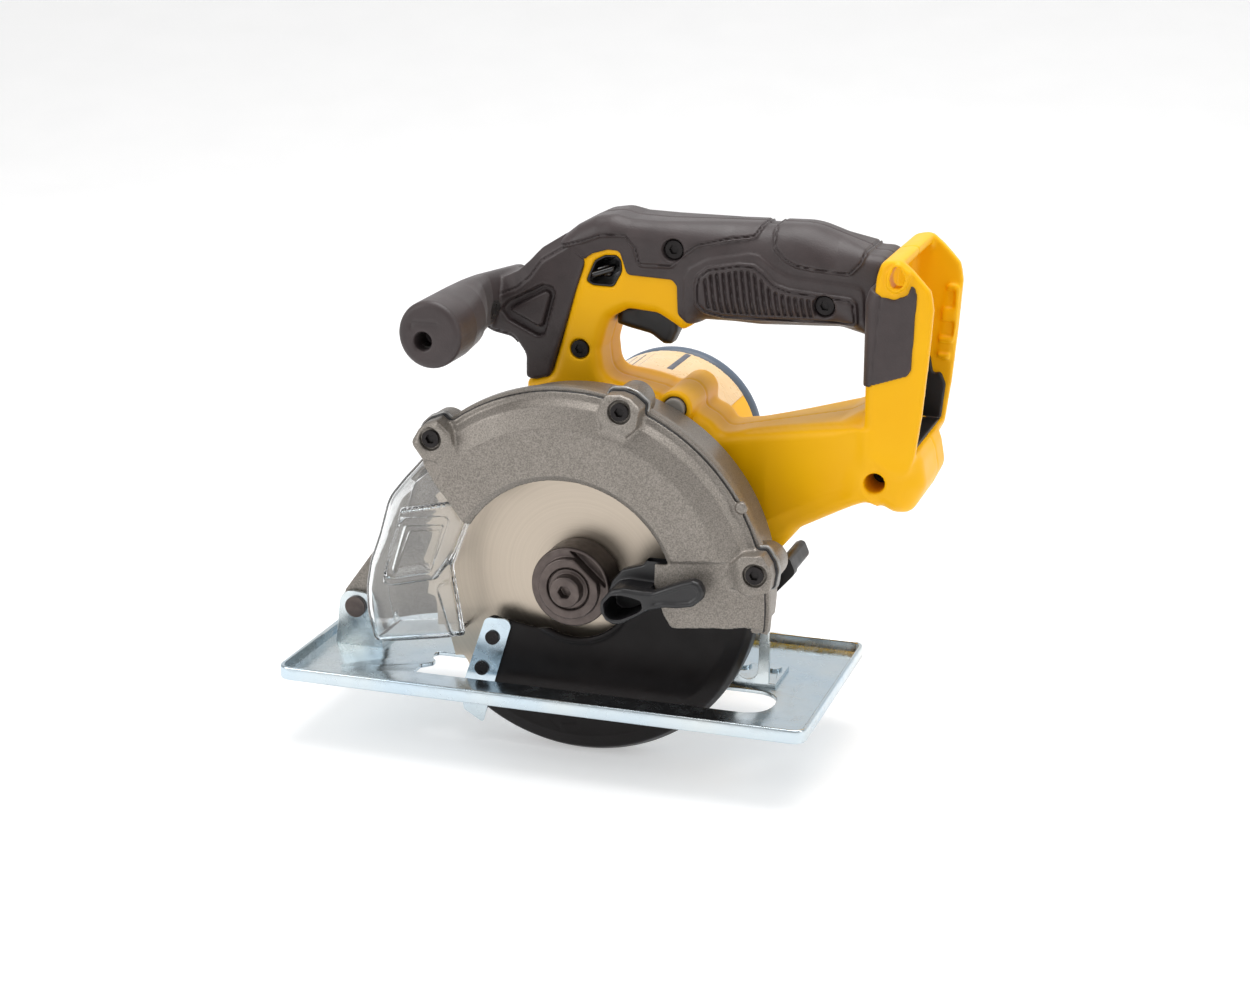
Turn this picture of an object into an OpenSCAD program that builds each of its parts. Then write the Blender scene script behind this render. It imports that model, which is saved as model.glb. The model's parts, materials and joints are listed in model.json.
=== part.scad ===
// Cordless metal-cutting circular saw, as an assembly of separate pieces.
// +X points to the rear, -Y is the blade side and +Z is up.
// The origin is on the shoe's sole, under the arbor, in the middle plane of the blade.
// Modules for the tool's body are drawn from the arbor, and at_arbor() lifts them to its height.

/* [Blade] */
// Blade diameter
blade_d = 140; // [130:1:170]
// Blade thickness
blade_t = 1.6; // [1:0.1:2.4]
// Number of teeth
blade_teeth = 30; // [20:2:60]
// Blade bore diameter
blade_bore = 20; // [16:0.5:24]
// Clamping flange diameter
flange_d = 35; // [30:0.5:36]
// Outer flange thickness
flange_t = 8.6; // [6:0.2:11]

/* [Guards] */
// Gap from the blade's tips to the outside of the lower guard
guard_gap = 5; // [4:0.5:8]
// Lower guard sheet thickness
guard_sheet = 1.2; // [1:0.1:1.6]
// Inner face of the lower guard's outer plate, from the blade's middle
guard_near = 8.1; // [6:0.1:9]
// Inner face of the lower guard's inner plate, from the blade's middle
guard_far = 5.8; // [5:0.1:6]
// Wall of the cast upper guard
cast_wall = 3; // [2.5:0.1:4]
// Width of the joint flange round the upper guard
joint_flange = 4.2; // [3:0.1:6]
// Distance from the blade's middle to the cover's front face
cover_face = 25; // [24:0.5:27]
// Cover wall
cover_wall = 2.5; // [2:0.1:3]
// Diameter of the round opening in the cover
cover_opening_d = 91; // [88:1:94]

/* [Shoe] */
// Height of the arbor above the shoe's sole
arbor_h = 46.5; // [44:0.5:56]
// Shoe width
shoe_w = 105.5; // [98:0.5:130]
// Shoe reach on the blade side, from the blade's middle
shoe_near = 38; // [36:0.5:44]
// Shoe length ahead of the depth pivot
shoe_toe = 17; // [14:0.5:24]
// Shoe length behind the blade slot
shoe_heel = 21; // [17:0.5:30]
// Shoe sheet thickness
shoe_t = 1.8; // [1.4:0.1:2.4]
// Height of the shoe's turned-up edge
lip_h = 6; // [4:0.5:8]
// Height of the depth pivot above the sole
pivot_h = 19.5; // [16:0.5:22]
// Bracket sheet thickness
bracket_t = 2; // [1.5:0.1:2.2]

/* [Body] */
// Height of the handle's top above the arbor
handle_top = 144.5; // [138:0.5:175]
// Depth of the handle bar, top to bottom
handle_h = 40; // [34:0.5:44]
// Distance from the arbor back to the rear face of the battery dock
rear_x = 140; // [132:1:170]
// Width of the handle and arm shells together
body_w = 32; // [30:0.5:40]
// Distance from the blade's middle to the near face of the shells
body_near = 20; // [19.5:0.1:22]
// Shell wall
wall = 2.5; // [2:0.1:3]
// Soft grip thickness over the shells
skin = 2; // [1.5:0.1:3]
// Width of the battery dock
dock_w = 64; // [60:0.5:76]
// Dock side wall
dock_wall = 4; // [3:0.5:5]
// Depth of a battery rail
rail = 4.5; // [3:0.5:6]
// Diameter of the lanyard eyelet
eyelet_d = 7.2; // [5:0.2:8]

/* [Motor] */
// Motor barrel diameter
barrel_d = 79; // [76:0.5:84]
// Length of the motor barrel without its cap
barrel_l = 45.6; // [45:0.1:58]
// Motor can diameter
can_d = 63; // [60:0.5:66]
// Motor shaft diameter
motor_shaft_d = 8; // [6:0.5:8]
// Spindle diameter
spindle_d = 12; // [10:0.5:12]

/* [Gears] */
// Gear module
gear_m = 1; // [0.8:0.01:1.05]
// Teeth on the output gear
output_z = 32; // [30:1:34]
// Teeth on the layshaft pinion
lay_pinion_z = 12; // [11:1:12]
// Teeth on the layshaft gear
lay_gear_z = 24; // [22:1:25]
// Teeth on the motor pinion
motor_pinion_z = 12; // [11:1:12]

/* [Front grip] */
// Diameter of the front grip
front_grip_d = 25; // [22:0.5:30]
// Reach of the front grip on the blade side, from the blade's middle
front_grip_near = 46; // [40:1:60]
// Reach of the front grip on the motor side
front_grip_far = 62; // [58:1:80]

/* [Hidden] */
$fn = 64;

run_gap = 0.05;       // radial clearance of a running fit
free_gap = 0.3;       // clearance between pieces that only lie side by side
eps = 0.01;

// Blade and flanges, along Y
blade_r = blade_d / 2;
flange_r = flange_d / 2;
spindle_r = spindle_d / 2;
blade_face = blade_t / 2;
flange_face = -blade_face - flange_t;
bolt_head_r = 5.9;
bolt_head_l = 8;
bolt_shank_r = 4;
washer_r = 8.3;
washer_t = 1.1;
boss_r = 12.9;
boss_t = 1.3;
inner_flange_t = 3;

// Lower guard, upper guard and cover
guard_r = blade_r + guard_gap;
guard_outer_y = -guard_near - guard_sheet;
guard_inner_y = guard_far + guard_sheet;
strip_t = 1;
case_ri = guard_r + 1.8;
case_ro = case_ri + 2.5;
rim_r = case_ro + joint_flange;
joint_y = -17;
screw_r = rim_r - 2;
shoulder_w = 13.5;    // width of the cover's sloping shoulder
screw_angles = [12, 72.5, 132.5];
screw_boss_r = 7.5;
seam_angle = 141;     // where the metal cover ends and the window begins
case_y0 = guard_inner_y + 1.5;
case_y1 = case_y0 + cast_wall;
opening_r = cover_opening_d / 2;

// Depth pivot and clamp, in the XZ plane from the arbor
pivot = [-(guard_r + 30), pivot_h - arbor_h];
clamp = [66, -6];
clamp_r = 4;
bracket_y = case_y1 + 1.5;
slot_below = 10.5;    // degrees of arc slot under the clamp bolt at rest
slot_above = 12;      // degrees of arc slot over it
pivot_r = 3;
ear_r = 8;

// Shoe
shoe_x0 = pivot[0] - shoe_toe;
shoe_x1 = guard_r + 8 + shoe_heel;
slot_x0 = -(guard_r - 5);
slot_x1 = guard_r + 8;
slot_y0 = guard_outer_y - 6.2;
slot_y1 = guard_inner_y + 2.5;
foot_z = shoe_t;

// Bearings and nose of the gear case
nose_r = 19;
nose_y = blade_face + inner_flange_t + 0.6;
front_bearing_r = 16;
front_bearing_w = 10;
front_bearing_y = nose_y + 1.6;
rear_bearing_r = 13;
rear_journal_r = 5;
motor_bearing_r = 11;
motor_shaft_r = motor_shaft_d / 2;
lay_r = 3;
lay_bush_r = 5;

// Gear train
pressure_angle = 25;
addendum = 0.8;
dedendum = 1.05;
backlash = 0.12;
output_y = [18.5, 27];
lay_y = [29.5, 36];
lay_centre_r = gear_m * (output_z + lay_pinion_z) / 2;
motor_centre_r = gear_m * (lay_gear_z + motor_pinion_z) / 2;
motor_angle = 76.76;  // direction of the motor from the arbor
lay_bend = 26.11;     // how far the layshaft lies off that line
lay_angle = motor_angle - lay_bend;
lay_axis = lay_centre_r * [cos(lay_angle), sin(lay_angle)];
motor_r = lay_centre_r * cos(lay_bend) + sqrt(pow(motor_centre_r, 2) - pow(lay_centre_r * sin(lay_bend), 2));
motor_axis = motor_r * [cos(motor_angle), sin(motor_angle)];
lay_to_motor = atan2(motor_axis[1] - lay_axis[1], motor_axis[0] - lay_axis[0]);
chamber_gap = 1.6;
case_wall = 3;
output_tip_r = gear_m * (output_z / 2 + addendum);
lay_tip_r = gear_m * (lay_gear_z / 2 + addendum);
motor_tip_r = gear_m * (motor_pinion_z / 2 + addendum);
chamber_y = front_bearing_y + front_bearing_w;
plate_y = 37.5;
plate_t = 3.5;

// Motor
barrel_r = barrel_d / 2;
can_r = can_d / 2;
barrel_wall = 2.5;
barrel_y = body_near + body_w + 0.4;
can_y = [barrel_y + 9.6, barrel_y + 35.6];
cap_l = 10;
motor_end = barrel_y + barrel_l + cap_l;
motor_bearing_y = plate_y + plate_t;
motor_bearing_w = 7;
end_bearing_y = motor_end - 9.5;
magnet_r = can_r - 2;
magnet_t = 5.5;
core_r = magnet_r - magnet_t - 0.6;
commutator_y = [can_y[1] + 1, can_y[1] + 8];
commutator_r = 11;

// Body shells
mid_y = body_near + body_w / 2;
body_far = body_near + body_w;
dock_near = mid_y - dock_w / 2;
dock_far = mid_y + dock_w / 2;
bar_top = handle_top - skin - 0.5;
bar_low = handle_top - handle_h + skin + 0.5;
grip_low = handle_top - handle_h;
bay_x = rear_x - 22;
bay_floor = 61.5;
waist_r = max(24.5, output_tip_r + chamber_gap + case_wall + free_gap + wall);
shell_screws_at = [[-8, 90], [32, handle_top - 11], [rear_x - 46, handle_top - 29.5], [rear_x - 21, 49]];
screw_head_r = 3.6;
screw_head_t = 2;
screw_shank_r = 1.7;
screw_post_r = 5.8;
lock_at = [34.5, 70];
lock_y = case_y1 + 0.7;
lock_travel = 3;
lock_r = 5.4;
eyelet_at = [rear_x - 16, handle_top - 14.5];

// Trigger and lock-off
trigger_w = 11;
trigger_travel = 6;
trigger_top = handle_top - 27;

// Front grip
grip_axis = [-49, 105.5];
front_grip_r = front_grip_d / 2;
core_bore_r = 4;

// ---- helpers ----

function unit(v) = v / norm(v);
function xy(p) = [p[0], p[1]];

// Points of one corner p = [x, y, radius] between neighbours a and b
function corner(p, a, b) =
    let (u = unit(xy(a) - xy(p)), v = unit(xy(b) - xy(p)), half = acos(u * v) / 2)
    p[2] <= 0 || half > 89 ? [xy(p)] :
    let (
        reach = min(p[2] / tan(half), 0.49 * norm(xy(a) - xy(p)), 0.49 * norm(xy(b) - xy(p))),
        r = reach * tan(half),
        centre = xy(p) + unit(u + v) * r / sin(half),
        first = xy(p) + u * reach - centre,
        turn = (180 - 2 * half) * (cross(u, v) > 0 ? -1 : 1),
        steps = max(2, ceil(abs(turn) / 14))
    )
    [for (i = [0:steps]) let (t = turn * i / steps)
        centre + [first[0] * cos(t) - first[1] * sin(t), first[0] * sin(t) + first[1] * cos(t)]];

// Polygon with rounded corners, from points [x, y, radius]
function rounded(pts) =
    let (n = len(pts)) [for (i = [0:n - 1]) each corner(pts[i], pts[(i + n - 1) % n], pts[(i + 1) % n])];

// Moves a counter-clockwise outline of [x, y, radius] points inwards by d
function inset(pts, d) =
    let (n = len(pts))
    [for (i = [0:n - 1]) let (
        u = unit(xy(pts[i]) - xy(pts[(i + n - 1) % n])),
        v = unit(xy(pts[(i + 1) % n]) - xy(pts[i])),
        a = [-u[1], u[0]], b = [-v[1], v[0]],
        p = xy(pts[i]) + (a + b) * d / (1 + a * b),
        r = pts[i][2] + (cross(u, v) > 0 ? -d : d))
        [p[0], p[1], max(r, 0.4)]];

function polar(r, a) = [r * cos(a), r * sin(a)];
function arc(r, a0, a1, steps) = [for (i = [0:steps]) polar(r, a0 + (a1 - a0) * i / steps)];

// Lifts a piece drawn from the arbor to its height above the sole
module at_arbor() translate([0, 0, arbor_h]) children();

// Extrudes an outline drawn in X and Z from y0 to y1
module slab(y0, y1) translate([0, y1, 0]) rotate([90, 0, 0]) linear_extrude(y1 - y0) children();

// Round bar along Y at p = [x, z]
module bar(p, r, y0, y1) translate([p[0], y1, p[1]]) rotate([90, 0, 0]) cylinder(r = r, h = y1 - y0);

module tube(p, r, hole_r, y0, y1) difference() {
    bar(p, r, y0, y1);
    bar(p, hole_r, y0 - 1, y1 + 1);
}

// Hexagonal prism along Y, across flats af
module hex_bar(p, af, y0, y1)
    translate([p[0], y1, p[1]]) rotate([90, 0, 0]) cylinder(d = af / cos(30), h = y1 - y0, $fn = 6);

// Screw along Y with its head on the near side
module screw(p, head_r, head_t, shank_r, y0, y1, drive = 3.5) difference() {
    union() {
        bar(p, head_r, y0, y0 + head_t);
        bar(p, shank_r, y0 + head_t, y1);
    }
    hex_bar(p, drive, y0 - 1, y0 + head_t * 0.6);
}

// Ring swept about the Y axis from angle a0 to a1, from a profile of [radius, y] points
module swept(a0, a1, profile)
    rotate([90, 0, 0]) rotate([0, 0, a0]) rotate_extrude(angle = a1 - a0, $fn = 96)
        polygon([for (p = profile) [p[0], -p[1]]]);

// Full ring about the Y axis, from a profile of [radius, y] points
module ring(profile) rotate([90, 0, 0]) rotate_extrude($fn = 96) polygon([for (p = profile) [p[0], -p[1]]]);

// Prism that covers every angle except a0 to a1, to cut a ring down to an arc
module outside(a0, a1) slab(-60, 60) polygon(concat([[0, 0]], arc(200, a1, a0 + 360, 4)));

// ---- gears ----

function involute(base_r, r) = let (a = acos(base_r / r)) tan(a) * 180 / PI - a;

// Outline of an involute gear with a tooth at the given angle
function gear_outline(z, phase) =
    let (
        pitch_r = gear_m * z / 2,
        base_r = pitch_r * cos(pressure_angle),
        tip_r = pitch_r + addendum * gear_m,
        root_r = pitch_r - dedendum * gear_m,
        start_r = max(base_r, root_r + 0.05),
        half = 90 / z - backlash / 2 / pitch_r * 180 / PI + involute(base_r, pitch_r),
        radii = [for (i = [0:3]) start_r + (tip_r - start_r) * i / 3]
    )
    [for (k = [0:z - 1]) let (a = phase + k * 360 / z) each concat(
        [polar(root_r, a - half + involute(base_r, start_r))],
        [for (r = radii) polar(r, a - half + involute(base_r, r))],
        [for (i = [3:-1:0]) polar(radii[i], a + half - involute(base_r, radii[i]))],
        [polar(root_r, a + half - involute(base_r, start_r))])];

// Angle of a tooth on gear 2 that meshes with a tooth of gear 1 at phase1,
// with gear 2 in the given direction from gear 1
function mesh_phase(direction, phase1, z1, z2) =
    direction + 180 - (0.5 - (direction - phase1) * z1 / 360) * 360 / z2;

output_phase = 0;
lay_pinion_phase = mesh_phase(lay_angle, output_phase, output_z, lay_pinion_z);
lay_gear_phase = 0;
motor_pinion_phase = mesh_phase(lay_to_motor, lay_gear_phase, lay_gear_z, motor_pinion_z);

module gear(p, z, phase, bore_r, y0, y1) difference() {
    translate([p[0], 0, p[1]]) slab(y0, y1) polygon(gear_outline(z, phase));
    bar(p, bore_r, y0 - 1, y1 + 1);
}

// ---- blade and spindle ----

module blade() color("#B9B4AA") at_arbor() {
    pitch = 360 / blade_teeth;
    tooth = 3.2;
    difference() {
        slab(-blade_face, blade_face) polygon([for (i = [0:blade_teeth - 1]) each [
            polar(blade_r, i * pitch), polar(blade_r - tooth, i * pitch + 0.12 * pitch),
            polar(blade_r - tooth, i * pitch + 0.3 * pitch),
                polar(blade_r - 0.4, i * pitch + 0.93 * pitch)]]);
        bar([0, 0], blade_bore / 2, -blade_t, blade_t);
    }
}

module outer_flange() color("#2B2A2A") at_arbor() difference() {
    union() {
        bar([0, 0], flange_r, flange_face, -blade_face);
        bar([0, 0], boss_r, flange_face - boss_t, flange_face);
    }
    bar([0, 0], spindle_r + run_gap, -blade_face - 7.3, 0);
    bar([0, 0], bolt_shank_r + run_gap, flange_face - 2, 0);
    // ring groove that leaves the raised rim
    tube([0, 0], flange_r - 1.6, boss_r + 0.4, flange_face - 1, flange_face + 1.2);
}

module inner_flange() color("#3A3938") at_arbor() difference() {
    union() {
        bar([0, 0], flange_r, blade_face, blade_face + inner_flange_t);
        bar([0, 0], blade_bore / 2 - run_gap, -blade_face + 0.2, blade_face + 1);
    }
    bar([0, 0], spindle_r, -5, 20);
}

module bolt_washer() color("#4B4744") at_arbor()
    tube([0, 0], washer_r, bolt_shank_r + run_gap, flange_face - boss_t - washer_t, flange_face - boss_t);

module blade_bolt() color("#2B2A2A") at_arbor() {
    head_y = flange_face - boss_t - washer_t;
    difference() {
        union() {
            bar([0, 0], bolt_head_r, head_y - bolt_head_l, head_y);
            bar([0, 0], bolt_shank_r, head_y, 8);
        }
        hex_bar([0, 0], 5, head_y - bolt_head_l - 1, head_y - bolt_head_l + 4);
    }
}

module spindle() color("#8C8E90") at_arbor() difference() {
    union() {
        bar([0, 0], spindle_r, -blade_face - 7, output_y[0] - 0.5);
        bar([0, 0], 8, blade_face + inner_flange_t, front_bearing_y - 0.1);
        bar([0, 0], 7, output_y[0] - 0.5, plate_y - 0.4);
        bar([0, 0], rear_journal_r, plate_y - 0.4, plate_y + plate_t + 8);
    }
    bar([0, 0], bolt_shank_r + run_gap, -20, 9);
}

module output_gear() color("#77797B") at_arbor()
    gear([0, 0], output_z, output_phase, 7, output_y[0], output_y[1]);

// Sealed ball bearing, as a ring with a shallow groove on each face
module bearing(p, r, bore_r, y0, y1) difference() {
    tube(p, r, bore_r + run_gap, y0, y1);
    tube(p, r - (r - bore_r) * 0.25, bore_r + (r - bore_r) * 0.3, y0 - 1, y0 + 0.4);
    tube(p, r - (r - bore_r) * 0.25, bore_r + (r - bore_r) * 0.3, y1 - 0.4, y1 + 1);
}

module front_bearing() color("#9FA3A6") at_arbor()
    bearing([0, 0], front_bearing_r, spindle_r, front_bearing_y, front_bearing_y + front_bearing_w);

module rear_bearing() color("#9FA3A6") at_arbor()
    bearing([0, 0], rear_bearing_r, rear_journal_r, plate_y + plate_t, plate_y + plate_t + 8);

// ---- layshaft ----

module layshaft() color("#8C8E90") at_arbor() {
    difference() {
        bar(lay_axis, lay_r, chamber_y - 3.4, plate_y + plate_t + 1);
        bar(lay_axis, lay_r + 1, output_y[0], output_y[1]);
    }
    translate([lay_axis[0], 0, lay_axis[1]]) slab(output_y[0], output_y[1])
        polygon(gear_outline(lay_pinion_z, lay_pinion_phase));
}

module lay_gear() color("#77797B") at_arbor()
    gear(lay_axis, lay_gear_z, lay_gear_phase, lay_r, lay_y[0], lay_y[1]);

module lay_bushes() color("#A5814A") at_arbor() {
    tube(lay_axis, lay_bush_r, lay_r + run_gap, chamber_y - 3.5, chamber_y + 0.8);
    tube(lay_axis, lay_bush_r, lay_r + run_gap, plate_y - 0.8, plate_y + plate_t);
}

// ---- motor ----

module rotor_shaft() color("#8C8E90") at_arbor()
    bar(motor_axis, motor_shaft_r, lay_y[0] - 1, end_bearing_y + 5.6);

module motor_pinion() color("#77797B") at_arbor()
    gear(motor_axis, motor_pinion_z, motor_pinion_phase, motor_shaft_r, lay_y[0] - 0.5, lay_y[1] + 0.5);

module armature() color("#8A4B2A") at_arbor() difference() {
    bar(motor_axis, core_r, can_y[0] + 2, can_y[1] - 2);
    bar(motor_axis, motor_shaft_r, can_y[0], can_y[1]);
    for (a = [0:30:330]) translate([motor_axis[0], 0, motor_axis[1]]) rotate([0, a, 0])
        translate([core_r - 3, can_y[0], -1]) cube([5, can_y[1] - can_y[0], 2]);
}

module commutator() color("#B87333") at_arbor()
    tube(motor_axis, commutator_r, motor_shaft_r, commutator_y[0], commutator_y[1]);

module fan() color("#33302E") at_arbor() {
    fan_y = [barrel_y + 1.5, barrel_y + 8];
    difference() {
        union() {
            bar(motor_axis, 9, fan_y[0], fan_y[1]);
            bar(motor_axis, can_r + 1, fan_y[0], fan_y[0] + 1.5);
            for (a = [0:36:324]) translate([motor_axis[0], 0, motor_axis[1]]) rotate([0, a, 0])
                translate([8, fan_y[0] + 1, -0.7]) cube([can_r - 8, fan_y[1] - fan_y[0] - 1, 1.4]);
        }
        bar(motor_axis, motor_shaft_r, fan_y[0] - 1, fan_y[1] + 1);
    }
}

module motor_bearings() color("#9FA3A6") at_arbor() {
    bearing(motor_axis, motor_bearing_r, motor_shaft_r, motor_bearing_y, motor_bearing_y + motor_bearing_w);
    bearing(motor_axis, motor_bearing_r, motor_shaft_r, end_bearing_y, end_bearing_y + 6);
}

module motor_can() color("#6E7073") at_arbor()
    tube(motor_axis, can_r, magnet_r, can_y[0], can_y[1]);

module magnets() color("#4A4C50") at_arbor() translate([motor_axis[0], 0, motor_axis[1]])
    for (a = [10:90:280]) swept(a, a + 70,
        [[magnet_r - magnet_t, can_y[0] + 1], [magnet_r - 0.1, can_y[0] + 1],
         [magnet_r - 0.1, can_y[1] - 1], [magnet_r - magnet_t, can_y[1] - 1]]);

module brush_holder() color("#2E2B2A") at_arbor() difference() {
    tube(motor_axis, barrel_r - barrel_wall, commutator_r + 2, commutator_y[0] - 0.9, commutator_y[1] + 1);
    brush_slots(0.1);
}

module brush_slots(gap) for (side = [-1, 1])
    translate([motor_axis[0] + side * (commutator_r + 9.1),
        (commutator_y[0] + commutator_y[1]) / 2, motor_axis[1]])
        cube([18 + gap * 2, 5 + gap * 2, 6 + gap * 2], center = true);

module brushes() color("#3B3B3D") at_arbor() brush_slots(0);

module motor_housing() color("#F2BD0C") at_arbor() difference() {
    union() {
        tube(motor_axis, barrel_r, barrel_r - barrel_wall, barrel_y, motor_end - cap_l);
        tube(motor_axis, barrel_r - 1, can_r, can_y[0] + 4, can_y[0] + 8);
        tube(motor_axis, barrel_r - 1, can_r, can_y[1] - 8, can_y[1] - 4);
        tube(motor_axis, barrel_r - 1, motor_bearing_r + 6, barrel_y, barrel_y + 1);
    }
    for (a = [-20:10:20]) translate([motor_axis[0], barrel_y + 4, motor_axis[1]]) rotate([0, a - 40, 0])
        translate([barrel_r - 5, 0, -1]) cube([8, 6, 2]);
}

module motor_end_cap() color("#5C6672") at_arbor() difference() {
    union() {
        bar(motor_axis, barrel_r, motor_end - cap_l, motor_end - 2);
        bar(motor_axis, barrel_r - 2, motor_end - 3, motor_end);
    }
    bar(motor_axis, barrel_r - barrel_wall, motor_end - cap_l - 1, motor_end - 3);
    for (a = [0:45:315]) translate([motor_axis[0], motor_end - 6, motor_axis[1]]) rotate([0, a, 0])
        translate([16, 0, -2]) cube([14, 10, 4]);
}

// ---- gear case ----

module gear_case_outline(grow) {
    circle(r = output_tip_r + chamber_gap + grow);
    translate(lay_axis) circle(r = lay_tip_r + chamber_gap + grow);
    translate(motor_axis) circle(r = motor_tip_r + 2 + grow);
}

case_ears = [[-27, 8], [31, 2], [24, 46], [-8, 46]];

module gear_case() color("#8F9294") at_arbor() difference() {
    union() {
        slab(case_y1, plate_y) gear_case_outline(case_wall);
        bar([0, 0], nose_r, nose_y, case_y1 + 1);
        for (p = case_ears) {
            bar(p, 5, case_y1, body_near);
            slab(case_y1, case_y1 + 3) polygon([p + [-3, -3], p + [3, -3], p / 3 + [3, 3],
                p / 3 + [-3, 3]]);
        }
        slab(case_y1, case_y1 + 3) polygon(rounded([[-27, 4, 3], [31, -2, 3], [28, 50, 4], [-12, 50, 4]]));
    }
    slab(chamber_y, plate_y + 1) gear_case_outline(0);
    bar([0, 0], front_bearing_r, front_bearing_y, chamber_y + 1);
    bar([0, 0], front_bearing_r - 3, nose_y - 1, chamber_y);
    bar(lay_axis, lay_bush_r, chamber_y - 3.5, chamber_y + 1);
    tube([0, 0], nose_r + 1, nose_r - 0.8, nose_y + 0.4, nose_y + 1.2);
    for (p = case_ears) bar(p, 1.95, case_y0 - 1, body_near + 1);
}

module bearing_plate() color("#8F9294") at_arbor() difference() {
    union() {
        slab(plate_y, plate_y + plate_t) gear_case_outline(case_wall);
        bar([0, 0], rear_bearing_r + 2.5, plate_y, plate_y + plate_t + 8);
        bar(motor_axis, motor_bearing_r + 2.5, plate_y, plate_y + plate_t + motor_bearing_w);
    }
    bar([0, 0], rear_journal_r + 1, plate_y - 1, plate_y + 20);
    bar([0, 0], rear_bearing_r, plate_y + plate_t, plate_y + 20);
    bar(motor_axis, motor_shaft_r + 1, plate_y - 1, plate_y + 20);
    bar(motor_axis, motor_bearing_r, plate_y + plate_t, plate_y + 20);
    bar(lay_axis, lay_bush_r, plate_y - 1, plate_y + plate_t + 1);
    bar(lay_axis, lay_r + 0.5, plate_y - 1, plate_y + 20);
}

module case_screws() color("#26221F") at_arbor() for (p = case_ears)
    screw(p, 3.5, 1.8, 1.9, case_y0 + 0.1, case_y1 + 8);

module guard_ring() color("#4B4744") at_arbor()
    swept(20, 340, [[nose_r - 0.7, nose_y + 0.45], [nose_r + 2, nose_y + 0.45],
        [nose_r + 2, nose_y + 1.15], [nose_r - 0.7, nose_y + 1.15]]);

module guard_spring() color("#6C6F72") at_arbor()
    swept(0, 340, [[nose_r + 0.4, case_y0 - 1.3], [nose_r + 1.4, case_y0 - 1.3],
        [nose_r + 1.4, case_y0 - 0.3], [nose_r + 0.4, case_y0 - 0.3]]);

// ---- upper guard, cover and window ----

// Cast back plate with its ear for the depth pivot. Its arc ends inside the thickness of the curved wall.
back_outline = concat(
    [[-38, -21], [0, -21.5], [30, -17], [60, -10]],
    arc(case_ri + 1, -9, 151, 28),
    [polar(case_ro + 8, 164), polar(case_ro + 14, 178),
     pivot + [-6, 6], pivot + [-6, -6], pivot + [6, -7], [-76, -28]]);

module upper_guard() color("#A3A09C") at_arbor() difference() {
    union() {
        slab(case_y0, case_y1) polygon(back_outline);
        bar(pivot, ear_r, case_y0, case_y1);
        bar(clamp, 8, case_y0, case_y1);
        // curved wall
        difference() {
            tube([0, 0], case_ro, case_ri - 1, joint_y + 2, case_y1);
            outside(-8, 150);
        }
        // joint flange
        difference() {
            tube([0, 0], rim_r, case_ri - 2, joint_y, joint_y + 5);
            outside(-7, seam_angle);
        }
        for (a = screw_angles) bar(polar(screw_r, a), screw_boss_r, joint_y, joint_y + 14);
    }
    bar([0, 0], nose_r + eps, -50, 50);
    // room for the lower guard to swing
    bar([0, 0], case_ri, -50, case_y0);
    bar(pivot, pivot_r, case_y0 - 1, case_y1 + 1);
    bar(clamp, clamp_r + run_gap, case_y0 - 1, case_y1 + 1);
    bar(clamp, 7.1, case_y0 - 1, case_y0 + 1.6);
    for (p = case_ears) {
        bar(p, 2, case_y0 - 1, case_y1 + 1);
        bar(p, 3.6, case_y0 - 1, case_y0 + 1.9);
    }
    for (a = screw_angles) bar(polar(screw_r, a), 1.75, joint_y - 1, joint_y + 10);
}

cover_flat_r = rim_r - shoulder_w;

module guard_cover() color("#A9A5A1") at_arbor() difference() {
    union() {
        // flat face with the round opening, which ends inside the thickness of the shoulder
        slab(-cover_face, -cover_face + cover_wall) difference() {
            polygon(concat([[0, 0]], arc(cover_flat_r - 0.5, -8, seam_angle - 4, 26),
                [polar(opening_r + 4.5, 150)]));
            circle(r = opening_r);
        }
        // sloping shoulder
        difference() {
            ring([[cover_flat_r - 1, -cover_face], [cover_flat_r, -cover_face], [rim_r, joint_y - 1.6],
                [rim_r, joint_y - free_gap], [case_ri, joint_y - free_gap],
                [cover_flat_r - 1, -cover_face + cover_wall - 0.6]]);
            outside(-7, seam_angle);
        }
        // skirt behind the lever, which closes the rear of the opening
        slab(-cover_face, -cover_face + cover_wall) polygon(concat(
            [[44, -13.8], [62, -10.5]], arc(cover_flat_r - 2, -7.5, 22, 6), [[39, 19.5], [33, 17],
            [40.5, -6]]));
        for (a = screw_angles) bar(polar(screw_r, a), screw_boss_r, -cover_face + 1, joint_y - free_gap);
    }
    for (a = screw_angles) bar(polar(screw_r, a), 2, -50, 0);
}

// Clear window at the front of the cover
window_outline = concat(
    [[-46, -26], [-53.5, 0], [-47, 16], [-43.5, 24]],
    [polar(rim_r - 9.5, seam_angle + 2)],
    arc(rim_r - 1, seam_angle + 5, 199, 10),
    [[-58, -27]]);

module guard_window() color("#D8DEE0", 0.5) at_arbor() {
    slab(joint_y - 2, joint_y) polygon(window_outline);
    swept(seam_angle + 6, 200, [[rim_r - 2, joint_y - 0.5], [rim_r + 0.3, joint_y - 0.5],
        [rim_r + 0.3, case_y0 - free_gap], [rim_r - 2, case_y0 - free_gap]]);
    // raised frame
    slab(joint_y - 5, joint_y - 1.5) difference() {
        polygon([[-67, 28], [-80, -2], [-55, 3], [-50, 28]]);
        polygon([[-65.5, 20.5], [-74.5, 1.5], [-57, 5], [-51.5, 23]]);
    }
}

module cover_screws() color("#26221F") at_arbor() for (a = screw_angles)
    screw(polar(screw_r, a), 3.6, 2.2, 1.7, -cover_face - 1.2, joint_y + 9);

// ---- lower guard ----

guard_inner_r = 22.5;
guard_lead = [[-27, -20], [-38, -19.5], [-50, -52]];

// Outline of the guard's two plates, which end inside the thickness of the rim
module guard_plate() polygon(concat(
    guard_lead, arc(guard_r - guard_sheet / 2, 228, 378, 38), arc(guard_inner_r + 1, 378, 222, 26)));

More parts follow.
